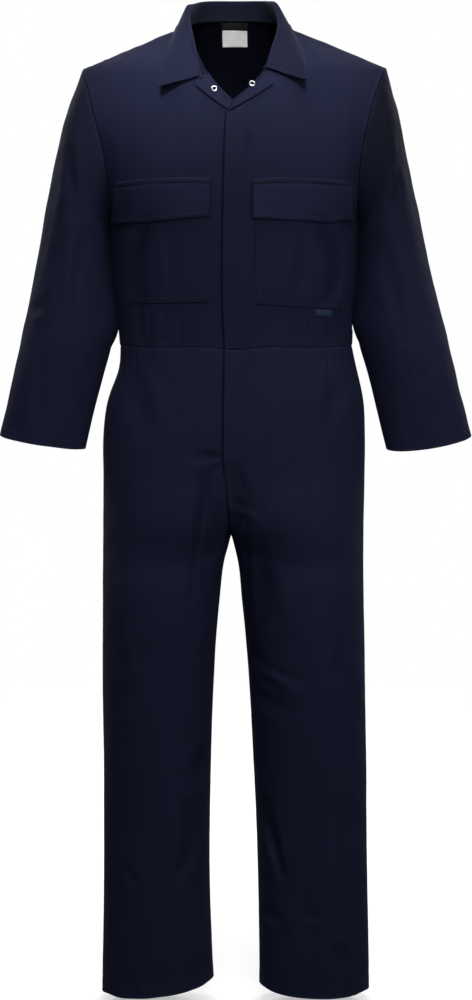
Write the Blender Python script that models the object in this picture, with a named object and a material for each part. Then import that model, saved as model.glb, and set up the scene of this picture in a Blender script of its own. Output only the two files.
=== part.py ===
"""Boiler suit, filled out and hanging from its shoulders, as hollow cloth solids.

+X is the wearer's left, -Y the front, +Z up. The origin is the middle of the neck at the
height of the neck ends of the shoulder seams. Tables and sizes are in millimetres.
"""
import bpy
import numpy as np
from mathutils import Vector
from mathutils.bvhtree import BVHTree

MM = 0.001
CLOTH = 1.5            # wall of the body cloth
PATCH = 1.2            # wall of a piece laid on the body
SEAM = 0.15            # each raw edge drawn back by this
LIFT = 0.6             # clearance under a piece laid on the body
STUD_R, STUD_HOLE, STUD_T = 5.6, 3.0, 1.4
GATHERS, GATHER_DEPTH = 44, 2.2      # waves of the elastic casing, and their height


def unit(v):
    return v / np.maximum(np.linalg.norm(v, axis=-1, keepdims=True), 1e-9)


def table(names, *rows):
    """A short table as a dict of columns."""
    return dict(zip(names.split(), np.array(rows, float).T))


# Widths seen from the front, from the centre line, right and left of the wearer
SIDE = table("z right left",
             (-309, 200.5, 197.5), (-336, 199.9, 197.5), (-401, 196.2, 195.4), (-465, 190.1, 191.8),
             (-497, 187.1, 190.3), (-515, 186.6, 190.6), (-530, 188.1, 194.6), (-562, 199.7, 204.6),
             (-595, 208.0, 209.7), (-628, 213.1, 211.5), (-660, 215.8, 212.6), (-726, 215.4, 212.2),
             (-813, 216.8, 211.1), (-924, 217.6, 211.8), (-991, 218.1, 213.6), (-1091, 218.7, 215.4),
             (-1193, 217.8, 218.1), (-1294, 218.4, 219.2), (-1397, 219.1, 221.2), (-1500, 221.5, 224.0),
             (-1590, 223.6, 225.6))
INSEAM = table("z right left",
               (-816, 6.0, -6.0), (-838, 14.0, 2.4), (-858, 18.1, 4.9), (-891, 21.4, 8.2),
               (-924, 25.6, 11.5), (-991, 31.4, 18.2), (-1091, 36.5, 25.3), (-1193, 39.6, 30.4),
               (-1294, 41.7, 35.3), (-1397, 41.8, 38.4), (-1500, 38.6, 40.2), (-1590, 35.5, 41.5))
SLEEVE_OUT = table("z right left",
                   (-64, 244.3, 243.0), (-78, 252.4, 247.5), (-106, 260.7, 254.3), (-144, 272.3, 262.7),
                   (-208, 289.0, 277.8), (-272, 302.6, 291.8), (-336, 314.5, 305.3), (-400, 326.5, 320.9),
                   (-465, 340.2, 337.0), (-530, 354.0, 353.2), (-595, 369.4, 369.4), (-655, 383.0, 385.0))
SLEEVE_IN = table("z right left",
                  (-318, 205.0, 204.5), (-336, 205.0, 204.5), (-370, 203.0, 202.0), (-415, 200.0, 200.2),
                  (-462, 197.6, 198.6), (-497, 199.0, 200.6), (-530, 207.2, 210.4), (-562, 215.5, 218.8),
                  (-595, 223.9, 227.2), (-628, 233.2, 234.0), (-675, 243.0, 246.0))

# Bodice rows, waist (0) to shoulder seam (14). c: inner end, a: its handle, b: handle at the
# outer end; the outer end runs up the side seam (rows 0-5) and then the armhole (5-14).
FRONT = table("cx cy cz ax ay az bx by bz",
              (0, -112, -512, 112, 0, 0, 0, -66, 0), (0, -114, -478, 113, 0, 0, 0, -68, 0),
              (0, -117, -441, 115, 0, 0, 0, -70, 0), (0, -120, -397, 118, 0, 0, 0, -72, 0),
              (0, -122, -353, 120, 0, 0, 0, -73, 0), (0, -123, -309, 121, 0, 0, 0, -72, 0),
              (0, -123, -281, 126, 0, 0, -3, -52, 0), (0, -122, -249, 130, 0, 0, -14, -40, 0),
              (0, -119, -208, 124, 0, 0, -28, -32, 0), (-1, -115, -167, 112, 0, 3, -38, -28, 4),
              (-3, -110, -129, 104, -2, 6, -48, -26, 8), (28, -103, -103, 84, -6, 6, -54, -22, 12),
              (52, -88, -79, 68, -10, 6, -58, -16, 18), (67, -52, -41, 58, -6, -8, -60, -8, 22),
              (77, 2, 2, 52, 0, -18, -56, 0, 24))
BACK = table("cx cy cz ax ay az bx by bz",
             (0, 118, -506, 110, 0, 0, 0, 66, 0), (0, 119, -476, 112, 0, 0, 0, 66, 0),
             (0, 121, -441, 114, 0, 0, 0, 68, 0), (0, 124, -397, 116, 0, 0, 0, 70, 0),
             (0, 127, -352, 118, 0, 0, 0, 72, 0), (0, 129, -309, 120, 0, 0, 0, 72, 0),
             (0, 131, -262, 120, 0, 0, -10, 58, 0), (0, 131, -210, 118, 0, 0, -32, 44, 0),
             (0, 128, -155, 112, 2, 0, -52, 34, 2), (0, 117, -95, 100, 4, 0, -66, 26, 6),
             (0, 97, -35, 85, 6, 0, -70, 24, 14), (0, 66, 22, 70, 12, -6, -66, 26, 22),
             (38, 62, 20, 62, 10, -12, -62, 16, 24), (63, 40, 11, 55, 4, -16, -58, 6, 24),
             (77, 2, 2, 52, 0, -18, -56, 0, 24))
EDGE = table("right left yf zf zl rb lb yb zb",     # rows 5-14: armhole, front and back
             (200.5, 197.5, 5, -309, -309, 200.5, 197.5, 5, -309),
             (200.5, 196.0, -30, -282, -282, 203.5, 201.0, 38, -284),
             (202.5, 196.0, -50, -249, -249, 208.0, 204.0, 62, -252),
             (207.0, 199.5, -58, -205, -205, 213.0, 208.0, 76, -210),
             (217.0, 208.0, -54, -165, -164, 219.0, 214.0, 80, -170),
             (226.5, 217.0, -43, -130, -128, 226.0, 220.0, 74, -135),
             (233.5, 226.0, -30, -102, -100, 232.0, 227.0, 60, -106),
             (239.0, 233.5, -18, -83, -81, 238.0, 234.0, 44, -86),
             (243.0, 239.5, -7, -70, -68, 242.0, 240.0, 24, -71),
             (244.3, 243.0, 5, -64, -62, 244.3, 243.0, 5, -64))
SIDE_Z = table("front_right front_left",                 # rows 0-5, where a row meets the side seam
               (-506, -506), (-476, -480), (-440, -453), (-397, -404), (-353, -356), (-309, -309))

# Trouser rows, waist (0), crotch point (8), hem (19). e: side seam end
LEG_FRONT = table("cx cy cz ax ay az ey ez bx by bz",
                  (0, -112, -512, 112, 0, 0, 5, -506, 0, -66, 0), (0, -116, -545, 118, 0, 0, 5, -538, 0, -70, 0),
                  (0, -120, -595, 122, 0, 0, 5, -595, 0, -76, 0), (-8, -121, -655, 122, 0, 0, 5, -655, 0, -83, 0),
                  (-14, -116, -715, 114, -8, -2, 5, -712, 0, -90, 0), (-12, -100, -765, 84, -46, -8, 4, -760, 0, -99, 0),
                  (-9, -72, -797, 52, -84, -8, 3, -800, 0, -110, 0), (-7, -36, -812, 26, -112, -20, 2, -832, 0, -121, 0),
                  (-6, 0, -816, 8, -138, -44, 1, -862, 0, -132, 0), (0, 0, -858, 0, -142, -32, 0, -895, 0, -139, 0),
                  (0, 0, -915, 0, -141, -18, 0, -935, 0, -138, 0), (0, 0, -985, 0, -135, -4, 0, -990, 0, -133, 0),
                  (0, 0, -1060, 0, -127, 0, 0, -1062, 0, -126, 0), (0, 0, -1130, 0, -118, 0, 0, -1130, 0, -118, 0),
                  (0, 0, -1200, 0, -110, 0, 0, -1200, 0, -110, 0), (0, 0, -1280, 0, -101, 0, 0, -1280, 0, -101, 0),
                  (0, 0, -1360, 0, -93, 0, 0, -1360, 0, -93, 0), (0, 0, -1440, 0, -86, 0, 0, -1440, 0, -86, 0),
                  (0, 0, -1508, 0, -81, 0, 0, -1514, 0, -81, 0), (0, 0, -1566, 0, -77, 0, 0, -1582, 0, -77, 0))
LEG_BACK = table("cx cy cz ax ay az ey ez bx by bz",
                 (0, 118, -506, 110, 0, 0, 5, -506, 0, 66, 0), (0, 122, -545, 116, 0, 0, 5, -538, 0, 70, 0),
                 (0, 128, -600, 124, 0, 0, 5, -595, 0, 78, 0), (-4, 132, -660, 128, 0, 0, 5, -655, 0, 86, 0),
                 (-6, 130, -715, 122, 8, 0, 5, -712, 0, 96, 0), (-6, 116, -762, 94, 42, -8, 4, -760, 0, 108, 0),
                 (-6, 84, -795, 58, 88, -10, 3, -800, 0, 120, 0), (-6, 44, -810, 28, 120, -22, 2, -832, 0, 134, 0),
                 (-6, 0, -816, 8, 150, -44, 1, -862, 0, 146, 0), (0, 0, -858, 0, 154, -32, 0, -895, 0, 151, 0),
                 (0, 0, -915, 0, 152, -18, 0, -935, 0, 149, 0), (0, 0, -985, 0, 144, -4, 0, -990, 0, 142, 0),
                 (0, 0, -1060, 0, 134, 0, 0, -1062, 0, 132, 0), (0, 0, -1130, 0, 122, 0, 0, -1130, 0, 120, 0),
                 (0, 0, -1200, 0, 112, 0, 0, -1200, 0, 110, 0), (0, 0, -1280, 0, 105, 0, 0, -1280, 0, 104, 0),
                 (0, 0, -1360, 0, 99, 0, 0, -1360, 0, 99, 0), (0, 0, -1440, 0, 92, 0, 0, -1440, 0, 92, 0),
                 (0, 0, -1508, 0, 85, 0, 0, -1514, 0, 85, 0), (0, 0, -1566, 0, 78, 0, 0, -1582, 0, 78, 0))
HEM_SLANT = {"right": (6.0, -2.0), "left": (-8.0, 2.0)}  # hem height at the inseam, at the side

# Largest folds as troughs through three points seen from the front (face -1) or the back (1)
FOLDS = table("face x0 z0 x1 z1 x2 z2 wide deep",
              (-1, -130, -318, -147, -367, -148, -437, 15, 4.0), (-1, 123, -319, 139, -378, 136, -432, 15, 4.0),
              (-1, -62, -682, -41, -679, -20, -682, 12, 3.5), (-1, -52, -722, -62, -812, -70, -910, 13, 4.5),
              (-1, -39, -734, -43, -793, -39, -841, 10, 3.5), (-1, 18, -777, 20, -870, 21, -970, 9, 3.0),
              (-1, 38, -812, 46, -878, 53, -942, 13, 3.5), (-1, -43, -1163, -56, -1189, -68, -1217, 14, 4.5),
              (-1, -72, -1253, -75, -1317, -92, -1368, 15, 5.0), (-1, 46, -1255, 64, -1317, 77, -1370, 13, 6.0),
              (-1, 30, -1022, 69, -1042, 107, -1062, 16, -2.5), (-1, 168, -980, 168, -1005, 168, -1031, 14, 2.5),
              (-1, 156, -1488, 169, -1504, 181, -1520, 13, 3.0), (-1, -165, -560, -150, -600, -140, -640, 16, 2.5),
              (-1, 165, -560, 150, -600, 142, -640, 16, 2.5),
              (1, -60, -800, -90, -840, -130, -862, 15, 4.5), (1, 60, -800, 90, -838, 126, -866, 15, 4.5),
              (1, -55, -1120, -100, -1140, -150, -1132, 16, 5.0), (1, 60, -1136, 104, -1152, 152, -1140, 16, 5.0),
              (1, -70, -1200, -110, -1214, -150, -1204, 15, 4.0), (1, 76, -1216, 116, -1226, 156, -1210, 15, 4.0),
              (1, -60, -330, -110, -380, -150, -440, 16, 3.0), (1, 64, -340, 108, -392, 150, -446, 16, 3.0),
              (1, -30, -440, -34, -400, -30, -360, 16, 2.0), (1, 34, -446, 36, -408, 30, -366, 16, 2.0),
              (1, -80, -1340, -110, -1380, -150, -1400, 14, 3.0), (1, 84, -1330, 118, -1368, 158, -1386, 14, 3.0))

# Sleeve rings below the armhole: inner and outer height, middle y, front and back depth
SLEEVE = table("zi zo y front back",
               (-322, -122, 6, 74, 84), (-342, -196, 6, 82, 88), (-374, -276, 5, 85, 88),
               (-415, -362, 3, 84, 84), (-460, -446, 0, 81, 79), (-502, -510, -4, 76, 74),
               (-556, -562, -8, 66, 66), (-614, -606, -12, 54, 54), (-673, -651, -15, 41, 41))

# Collar, back (0) to front end (1): neck seam follows the panels; roll line and leaf edge
COLLAR = table("s rx ry rz lx ly lz",
               (0.00, 0, 75, 55, 0, 95, 6), (0.17, 40, 69, 54, 52, 88, 4), (0.35, 66, 46, 49, 84, 60, 1),
               (0.50, 75, 14, 40, 101, 12, -8), (0.62, 75, -14, 20, 108, -26, -26),
               (0.76, 69, -46, -14, 112, -66, -58), (0.90, 61, -76, -50, 113, -100, -86),
               (1.00, 52, -96, -76, 114, -116, -106))

PLACKET_RIGHT, PLACKET_LEFT, PLACKET_END = 21.0, 22.0, -686.0
LAPEL_RIGHT = ((-53, -82), (-4, -131), (-10, -145), (-60, -107))     # x, z round the facing
LAPEL_LEFT = ((52, -76), (-3, -130), (-8.5, -145.5), (59, -105))
STUDS = {"right": (-32, -112), "left": (26, -102)}
LABEL = (-21, 20, 9, -15)                                            # x0, x1, top, bottom
STRIP = (-22, 20, 20, 11)
TAB = (126, 152, -449, -459)

ROWS = (0, 1, 2, 3, 4, 5, 6, 7, 8, 9, 10, 11, 12, 12.5, 13, 13.5, 14)
LEG_ROWS = (0, 1, 2, 3, 4, 5, 6, 7, 8, 9, 10, 10.5, 11, 11.5, 12, 13, 13.5, 14, 14.5, 15, 15.5, 16, 17, 18, 19)
COLUMN_GAPS = {"right": (0, 21.0, 39.5), "left": (0, 22.0, 29.5)}    # closing edge, pocket edge
COLUMN_REST = (0.11, 0.22, 0.33, 0.44, 0.55, 0.66, 0.76, 0.86, 0.93, 1.0)   # shares of what is left
POCKET_COL, POCKET_OUT = 2, 10
SIGN = {"right": -1.0, "left": 1.0}


def smooth(stations, values, at):
    """Smooth curve through values (n or n x 3) at rising stations."""
    t, p = np.asarray(stations, float), np.asarray(values, float)
    one = p.ndim == 1
    p = p[:, None] if one else p
    h = np.diff(t)[:, None]
    d = np.diff(p, axis=0) / h
    m = np.vstack([d[:1], (d[:-1] * h[1:] + d[1:] * h[:-1]) / (h[1:] + h[:-1]), d[-1:]])
    x = np.clip(np.atleast_1d(np.asarray(at, float)), t[0], t[-1])
    i = np.clip(np.searchsorted(t, x, side="right") - 1, 0, len(t) - 2)
    w = ((x - t[i]) / (t[i + 1] - t[i]))[:, None]
    g = (t[i + 1] - t[i])[:, None]
    out = ((2 * w**3 - 3 * w**2 + 1) * p[i] + (w**3 - 2 * w**2 + w) * g * m[i]
           + (3 * w**2 - 2 * w**3) * p[i + 1] + (w**3 - w**2) * g * m[i + 1])
    return out[:, 0] if one else out


def width(tab, side, z):
    """Width column of an outline table at a height."""
    return smooth(tab["z"][::-1], tab[side][::-1], z)


def bezier(c, a, e, b, t):
    """Cubic from c to e with handles a and b."""
    t = np.asarray(t)[:, None]
    return ((1 - t)**3 * c + 3 * (1 - t)**2 * t * (c + a) + 3 * (1 - t) * t**2 * (e + b) + t**3 * e)


def columns(side, total, spread):
    """Distances of the columns along a row; spread 1 shares them out evenly."""
    near = np.array(COLUMN_GAPS[side])
    fixed = np.concatenate([near, near[-1] + (total - near[-1]) * np.array(COLUMN_REST)])
    even = total * np.linspace(0, 1, len(fixed))
    return fixed * (1 - spread) + even * spread


def patch(ends, rows, side, spread):
    """Grid of points from control rows (c, a, e, b), sampled at row numbers."""
    c, a, e, b = ends
    step = 0.5 * (np.linalg.norm(np.diff(c, axis=0), axis=1) + np.linalg.norm(np.diff(e, axis=0), axis=1))
    st = np.concatenate([[0], np.cumsum(step)])
    at = np.interp(rows, np.arange(len(st)), st)
    cs, as_, es, bs = (smooth(st, q, at) for q in (c, a, e, b))
    grid = []
    for k in range(len(rows)):
        fine = bezier(cs[k], as_[k], es[k], bs[k], np.linspace(0, 1, 121))
        run = np.concatenate([[0], np.cumsum(np.linalg.norm(np.diff(fine, axis=0), axis=1))])
        want = columns(side, run[-1], spread(rows[k]))
        grid.append(np.stack([np.interp(want, run, fine[:, q]) for q in range(3)], axis=1))
    return np.array(grid)


def stack(tab, keys):
    return np.stack([tab[k] for k in keys.split()], axis=1)


def mirrored(side, pts, centred=False):
    """Put outward x on the wearer's side; the closing line itself is not mirrored."""
    out = pts.copy()
    out[:, 0] *= SIGN[side]
    return out


def bodice(side, back):
    """Outer surface of half a bodice, waist row first."""
    tab = BACK if back else FRONT
    c, a, b = stack(tab, "cx cy cz"), stack(tab, "ax ay az"), stack(tab, "bx by bz")
    c, a, b = c.copy(), mirrored(side, a), mirrored(side, b)
    if not back and side == "left":
        c[11:, 0] -= 1.0
    turn = SIGN[side] if not back else SIGN[side]
    if back:
        c[:, 0] *= turn
    else:
        c[11:, 0] *= turn
    seam_z = SIDE_Z["front_" + side][:5]
    side_end = np.stack([width(SIDE, side, seam_z) * SIGN[side], np.full(5, 5.0), seam_z], axis=1)
    if back:
        hole = np.stack([EDGE["rb" if side == "right" else "lb"] * SIGN[side], EDGE["yb"], EDGE["zb"]], axis=1)
    else:
        hole = np.stack([EDGE[side] * SIGN[side], EDGE["yf"], EDGE["zf" if side == "right" else "zl"]], axis=1)
    hole[-1, 2] = -64 if side == "right" else -62
    e = np.vstack([side_end, hole])
    return patch((c, a, e, b), ROWS, side, lambda r: np.clip((r - 7) / 4, 0, 1))


def leg(side, back):
    """Outer surface of half a trouser leg, waist row first."""
    tab = LEG_BACK if back else LEG_FRONT
    c, a, b = stack(tab, "cx cy cz"), stack(tab, "ax ay az"), stack(tab, "bx by bz")
    a, b = mirrored(side, a), mirrored(side, b)
    slant = np.clip((np.arange(20) - 14) / 5, 0, 1)
    c[9:, 2] += (slant * HEM_SLANT[side][0])[9:]
    ez = tab["ez"] + slant * HEM_SLANT[side][1]
    c[9:, 0] = width(INSEAM, side, c[9:, 2]) * SIGN[side]
    e = np.stack([width(SIDE, side, ez) * SIGN[side], tab["ey"], ez], axis=1)
    return patch((c, a, e, b), LEG_ROWS, side, lambda r: np.clip(r / 5, 0, 1))


def sleeve(side, hole):
    """Outer surface of a sleeve from the armhole points (underarm, front, tip, back)."""
    n = len(hole)
    run = np.concatenate([[0], np.cumsum(np.linalg.norm(np.diff(hole[:, 1:], axis=0), axis=1))])
    tip = int(np.argmax(hole[:, 2]))
    turn = np.concatenate([run[:tip + 1] / run[tip], 1 + (run[tip + 1:] - run[tip]) / (run[-1] - run[tip])])
    ang = np.pi * turn
    rings = [hole]
    for k in range(len(SLEEVE["zi"])):
        zi, zo, y, front, back = (SLEEVE[q][k] for q in "zi zo y front back".split())
        inner = np.array([width(SLEEVE_IN, side, zi)[0] * SIGN[side], y, zi])
        outer = np.array([width(SLEEVE_OUT, side, zo)[0] * SIGN[side], y, zo])
        mid, arm = (inner + outer) / 2, (inner - outer) / 2
        depth = np.where(np.sin(ang) > 0, front, back)
        rings.append(mid + np.cos(ang)[:, None] * arm + (-np.sin(ang) * depth)[:, None] * np.array([0, 1, 0]))
    rings = np.array(rings)
    mids = rings.mean(axis=1)
    st = np.concatenate([[0], np.cumsum(np.linalg.norm(np.diff(mids, axis=0), axis=1))])
    at = np.concatenate([[0, 0.5], np.arange(1, 4), [3.5, 4, 4.5, 5, 5.5, 6, 6.5, 7, 8, 9]])
    at = np.interp(at, np.arange(len(st)), st)
    return np.stack([smooth(st, rings[:, j], at) for j in range(n)], axis=1)


def net_normals(g):
    """Normals of a grid by its own rows and columns, facing away from the body's middle."""
    du, dv = np.gradient(g, axis=1), np.gradient(g, axis=0)
    n = unit(np.cross(du, dv))
    return n if (n[..., 1] * np.sign(g[..., 1].mean())).sum() > 0 else -n


def crease(g, folds=None):
    """Press the large folds into a grid, fading out towards its seams."""
    folds = FOLDS if folds is None else folds
    n = net_normals(g)
    rows, cols = g.shape[:2]
    fade_u = np.clip(np.minimum(np.arange(cols), cols - 1 - np.arange(cols)) / 1.0, 0, 1)
    fade_v = np.clip(np.minimum(np.arange(rows), rows - 1 - np.arange(rows)) / 1.0, 0, 1)
    face = np.sign(g[..., 1].mean())
    xz = g[..., [0, 2]]
    push = np.zeros(g.shape[:2])
    for k in range(len(folds["face"])):
        if folds["face"][k] != face:
            continue
        a, b, c = (np.array([folds["x%d" % q][k], folds["z%d" % q][k]]) for q in range(3))
        near = None
        for p, q in ((a, b), (b, c)):
            t = np.clip(((xz - p) @ (q - p)) / ((q - p) @ (q - p)), 0, 1)
            d = np.linalg.norm(xz - p - t[..., None] * (q - p), axis=-1)
            near = d if near is None else np.minimum(near, d)
        push -= folds["deep"][k] * np.exp(-(near / folds["wide"][k])**2)
    front_facing = np.clip(np.abs(n[..., 1]) * 2.5 - 0.6, 0, 1)
    return g + n * (push * front_facing * fade_u[None] * fade_v[:, None])[..., None]


class Piece:
    """One cut piece: outer points and triangles, thickened later."""

    def __init__(self, name, colour, rough=0.85, metal=0.0):
        self.name, self.colour, self.rough, self.metal = name, colour, rough, metal
        self.points, self.faces, self.found = [], [], {}

    def add(self, p):
        key = tuple(np.round(p, 3))
        if key not in self.found:
            self.found[key] = len(self.points)
            self.points.append(np.asarray(p, float))
        return self.found[key]

    def grid(self, g, outward, probe=None):
        """Weld a grid in, facing away from the points outward gives (probe: columns asked)."""
        idx = [[self.add(p) for p in row] for row in g]
        tris = []
        for i in range(len(g) - 1):
            for j in range(len(g[0]) - 1):
                a, b, c, d = idx[i][j], idx[i][j + 1], idx[i + 1][j + 1], idx[i + 1][j]
                tris += [(a, b, c), (a, c, d)]
        tris = [t for t in tris if len(set(t)) == 3]
        p = np.array(self.points)
        t = np.array(tris)
        if probe:
            near = {q for row in idx for q in row[:probe]}
            t = np.array([f for f in tris if set(f) <= near])
        n = np.cross(p[t[:, 1]] - p[t[:, 0]], p[t[:, 2]] - p[t[:, 0]])
        mid = p[t].mean(axis=1)
        if (n * (mid - outward(mid))).sum() < 0:
            tris = [(a, c, b) for a, b, c in tris]
        self.faces += tris

    def normals(self, whole=True):
        """Point normals weighted by the corner angles; whole makes them unit length."""
        p, t = np.array(self.points), np.array(self.faces)
        n = unit(np.cross(p[t[:, 1]] - p[t[:, 0]], p[t[:, 2]] - p[t[:, 0]]))
        out = np.zeros_like(p)
        for q in range(3):
            u, v = unit(p[t[:, (q + 1) % 3]] - p[t[:, q]]), unit(p[t[:, (q + 2) % 3]] - p[t[:, q]])
            np.add.at(out, t[:, q], n * np.arccos(np.clip((u * v).sum(axis=1), -1, 1))[:, None])
        return unit(out) if whole else out

    def rim(self):
        """Boundary edges in the order of their faces."""
        edges = {}
        for a, b, c in self.faces:
            for e in ((a, b), (b, c), (c, a)):
                edges[e] = True
        return [e for e in edges if (e[1], e[0]) not in edges]


def thicken(piece, shared, wall, gap=SEAM):
    """Inner wall along the shared seam normals, raw edges drawn back."""
    p, own = np.array(piece.points), piece.normals()
    common = np.array([shared.get(tuple(np.round(q, 3)), n) for q, n in zip(p, own)])
    common = unit(common)
    lean = np.clip((common * own).sum(axis=1), 0.72, 1)[:, None]
    inner = p - common * wall / lean
    rim = piece.rim()
    pull = {}
    for a, b in rim:
        for v in (a, b):
            way = unit(np.cross(own[v], p[b] - p[a]))
            pull.setdefault(v, []).append(way)
    shift = np.zeros_like(p)
    for v, ways in pull.items():                         # further back where a seam folds sharply
        more = gap / max(common[v] @ own[v], 0.2)
        if len(ways) == 2:
            shift[v] = more * (ways[0] + ways[1]) / max(1 + ways[0] @ ways[1], 0.3)
        else:
            shift[v] = more * unit(np.sum(ways, axis=0))
    outer, inner = p + shift, inner + shift
    n = len(p)
    faces = list(piece.faces) + [(c + n, b + n, a + n) for a, b, c in piece.faces]
    for a, b in rim:                                    # the same diagonal on both sides of a seam
        if tuple(np.round(p[a], 2)) < tuple(np.round(p[b], 2)):
            faces += [(b, a, b + n), (a, a + n, b + n)]
        else:
            faces += [(b, a, a + n), (b, a + n, b + n)]
    return np.vstack([outer, inner]), faces


def make(name, points, faces, colour, rough=0.85, metal=0.0):
    mesh = bpy.data.meshes.new(name)
    mesh.from_pydata((np.asarray(points) * MM).tolist(), [], [list(f) for f in faces])
    mesh.update()
    obj = bpy.data.objects.new(name, mesh)
    bpy.context.scene.collection.objects.link(obj)
    mat = bpy.data.materials.new(name)
    mat.use_nodes = True
    node = mat.node_tree.nodes["Principled BSDF"]
    node.inputs["Base Color"].default_value = (*colour, 1)
    node.inputs["Roughness"].default_value = rough
    node.inputs["Metallic"].default_value = metal
    mesh.materials.append(mat)
    return obj


NAVY, NAVY_DARK = (0.018, 0.021, 0.045), (0.012, 0.014, 0.030)
FACING, PALE, TABBED, STEEL = (0.022, 0.026, 0.052), (0.55, 0.55, 0.57), (0.02, 0.035, 0.09), (0.6, 0.6, 0.6)


def body_axis(mid):
    out = mid.copy()
    out[:, 0] *= 0.25
    out[:, 1] = 0
    out[:, 2] -= 60
    return out


def build():
    sides = ("right", "left")
    front = {s: bodice(s, False) for s in sides}
    back = {s: bodice(s, True) for s in sides}
    legs = {(s, k): leg(s, k == "back") for s in sides for k in ("front", "back")}
    for s in sides:
        back[s][:6, -1] = front[s][:6, -1]
        back[s][-1] = front[s][-1]
        legs[s, "front"][0] = front[s][0]
        legs[s, "back"][0] = back[s][0]
        legs[s, "back"][:, -1] = legs[s, "front"][:, -1]
        crotch = LEG_ROWS.index(8)
        legs[s, "back"][crotch:, 0] = legs[s, "front"][crotch:, 0]
        for grid in (front, back):
            grid[s] = crease(grid[s])
        for k in ("front", "back"):
            legs[s, k] = crease(legs[s, k])
    pieces = {}
    for s in sides:
        pieces["front_" + s] = Piece("front_" + s, NAVY)
        pieces["front_" + s].grid(front[s], body_axis)
    pieces["back"] = Piece("back", NAVY)
    for s in sides:
        pieces["back"].grid(back[s], body_axis)
    for (s, k), g in legs.items():
        name = "leg_%s_%s" % (k, s)
        pieces[name] = Piece(name, NAVY_DARK)
        mid_x = SIGN[s] * 118.0
        pieces[name].grid(g, lambda m, x=mid_x: np.stack([np.full(len(m), x), m[:, 1] * 0, m[:, 2]], axis=1))
    first = ROWS.index(5)
    for s in sides:
        hole = np.vstack([front[s][first:, -1], back[s][first:-1, -1][::-1]])
        tube = sleeve(s, hole)
        name = "sleeve_" + s
        pieces[name] = Piece(name, NAVY)
        line = tube.mean(axis=1)

        def arm(m, line=line):
            order = np.argsort(line[:, 2])
            return np.stack([np.interp(m[:, 2], line[order, 2], line[order, q]) for q in range(3)], axis=1)
        pieces[name].grid(tube, arm)
    return pieces, front, back, legs


def elastic(back):
    """The gathered casing round the back of the waist, side seam to side seam."""
    low = np.concatenate([back["right"][0][::-1], back["left"][0][1:]])
    high = np.concatenate([back["right"][1][::-1], back["left"][1][1:]])
    run = np.concatenate([[0], np.cumsum(np.linalg.norm(np.diff(low, axis=0), axis=1))])
    count = GATHERS * 3 + 1
    at = np.linspace(1.5, run[-1] - 1.5, count)
    low, high = smooth(run, low, at), smooth(run, high, at)
    out = unit(np.stack([np.gradient(low[:, 1]), -np.gradient(low[:, 0]), np.zeros(count)], axis=1))
    out *= np.sign((out * low).sum())
    k = np.arange(count)
    size = GATHER_DEPTH * (0.75 + 0.25 * np.sin(k * 0.37) * np.cos(k * 0.113))
    wave = size * (0.5 - 0.5 * np.cos(k * 2 * np.pi / 3)) / 0.75
    rows = []
    for share, swell in ((0.04, 0.6), (0.5, 1.0), (0.96, 0.6)):
        rows.append(low + (high - low) * share + out * (LIFT + PATCH - 0.15 + wave * swell)[:, None])
    return np.array(rows)


def neck_line(front, back, side):
    """Neck seam points from the middle of the back to the front end of the collar."""
    top = ROWS.index(11)
    low = ROWS.index(12)
    return np.vstack([back[side][top:, 0], front[side][low:-1, 0][::-1]])


def collar_half(side, seam):
    """Folded section of the collar at every seam point: stand, roll, fall."""
    run = np.concatenate([[0], np.cumsum(np.linalg.norm(np.diff(seam, axis=0), axis=1))])
    s = run / run[-1]
    roll = smooth(COLLAR["s"], stack(COLLAR, "rx ry rz"), s)
    leaf = smooth(COLLAR["s"], stack(COLLAR, "lx ly lz"), s)
    roll[:, 0] *= SIGN[side]
    leaf[:, 0] *= SIGN[side]
    rows = []
    for n, r, f in zip(seam, roll, leaf):
        up = unit(r - n)
        out = unit(unit(f - r) * np.array([1, 1, 0.2]) - up * (unit(f - r) * np.array([1, 1, 0.2]) @ up))
        stand = [n, n + (r - n) * 0.5, r - up * 2.4 - out * 0.4]
        fold = [r + out * 0.7, r + out * 2.6 + up * 0.8, r + out * 4.4 - up * 1.2]
        start = fold[-1]
        fall = [start + (f - start) * w + out * 1.5 * np.sin(np.pi * w) for w in (0.2, 0.45, 0.7, 1.0)]
        rows.append(stand + fold + fall)
    return np.array(rows)


def skin(piece):
    return BVHTree.FromPolygons([Vector(p) for p in piece.points], [tuple(f) for f in piece.faces])


def lay(trees, x, z, from_y=-400.0, way=1.0):
    """Outermost body point at a front-view position, with its normal."""
    best = None
    for tree in trees:
        hit, nor, _, dist = tree.ray_cast(Vector((x, from_y, z)), Vector((0, way, 0)))
        if hit is not None and (best is None or dist < best[2]):
            best = (np.array(hit), np.array(nor), dist)
    if best is None:                                    # just past a raw edge: the nearest point
        hit, nor, _, dist = min((t.find_nearest(Vector((x, -95.0 * way, z))) for t in trees),
                                key=lambda h: h[3])
        best = (np.array(hit), np.array(nor), dist)
    p, n, _ = best
    return p, (n if n[1] * way < 0 else -n)


def quad(corners, across, down):
    """Points of a four-cornered patch in x and z: corners run 0-1 along the top, 3-2 below."""
    c = np.array(corners, float)
    out = []
    for v in np.linspace(0, 1, down + 1):
        out.append([(c[0] * (1 - u) + c[1] * u) * (1 - v) + (c[3] * (1 - u) + c[2] * u) * v
                    for u in np.linspace(0, 1, across + 1)])
    return np.array(out)


def laid(name, xz, trees, lift, wall, colour, rough=0.85, way=1.0, from_y=-400.0):
    """A flat-cut piece laid on the body at front-view positions."""
    rows = []
    for row in xz:
        line = []
        for x, z in row:
            p, n = lay(trees, x, z, from_y, way)
            line.append(p + unit(n) * (lift + wall))
        rows.append(line)
    piece = Piece(name, colour, rough)
    piece.grid(np.array(rows), lambda m: m + np.array([0, 1.0 * way, 0]))
    return piece


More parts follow.
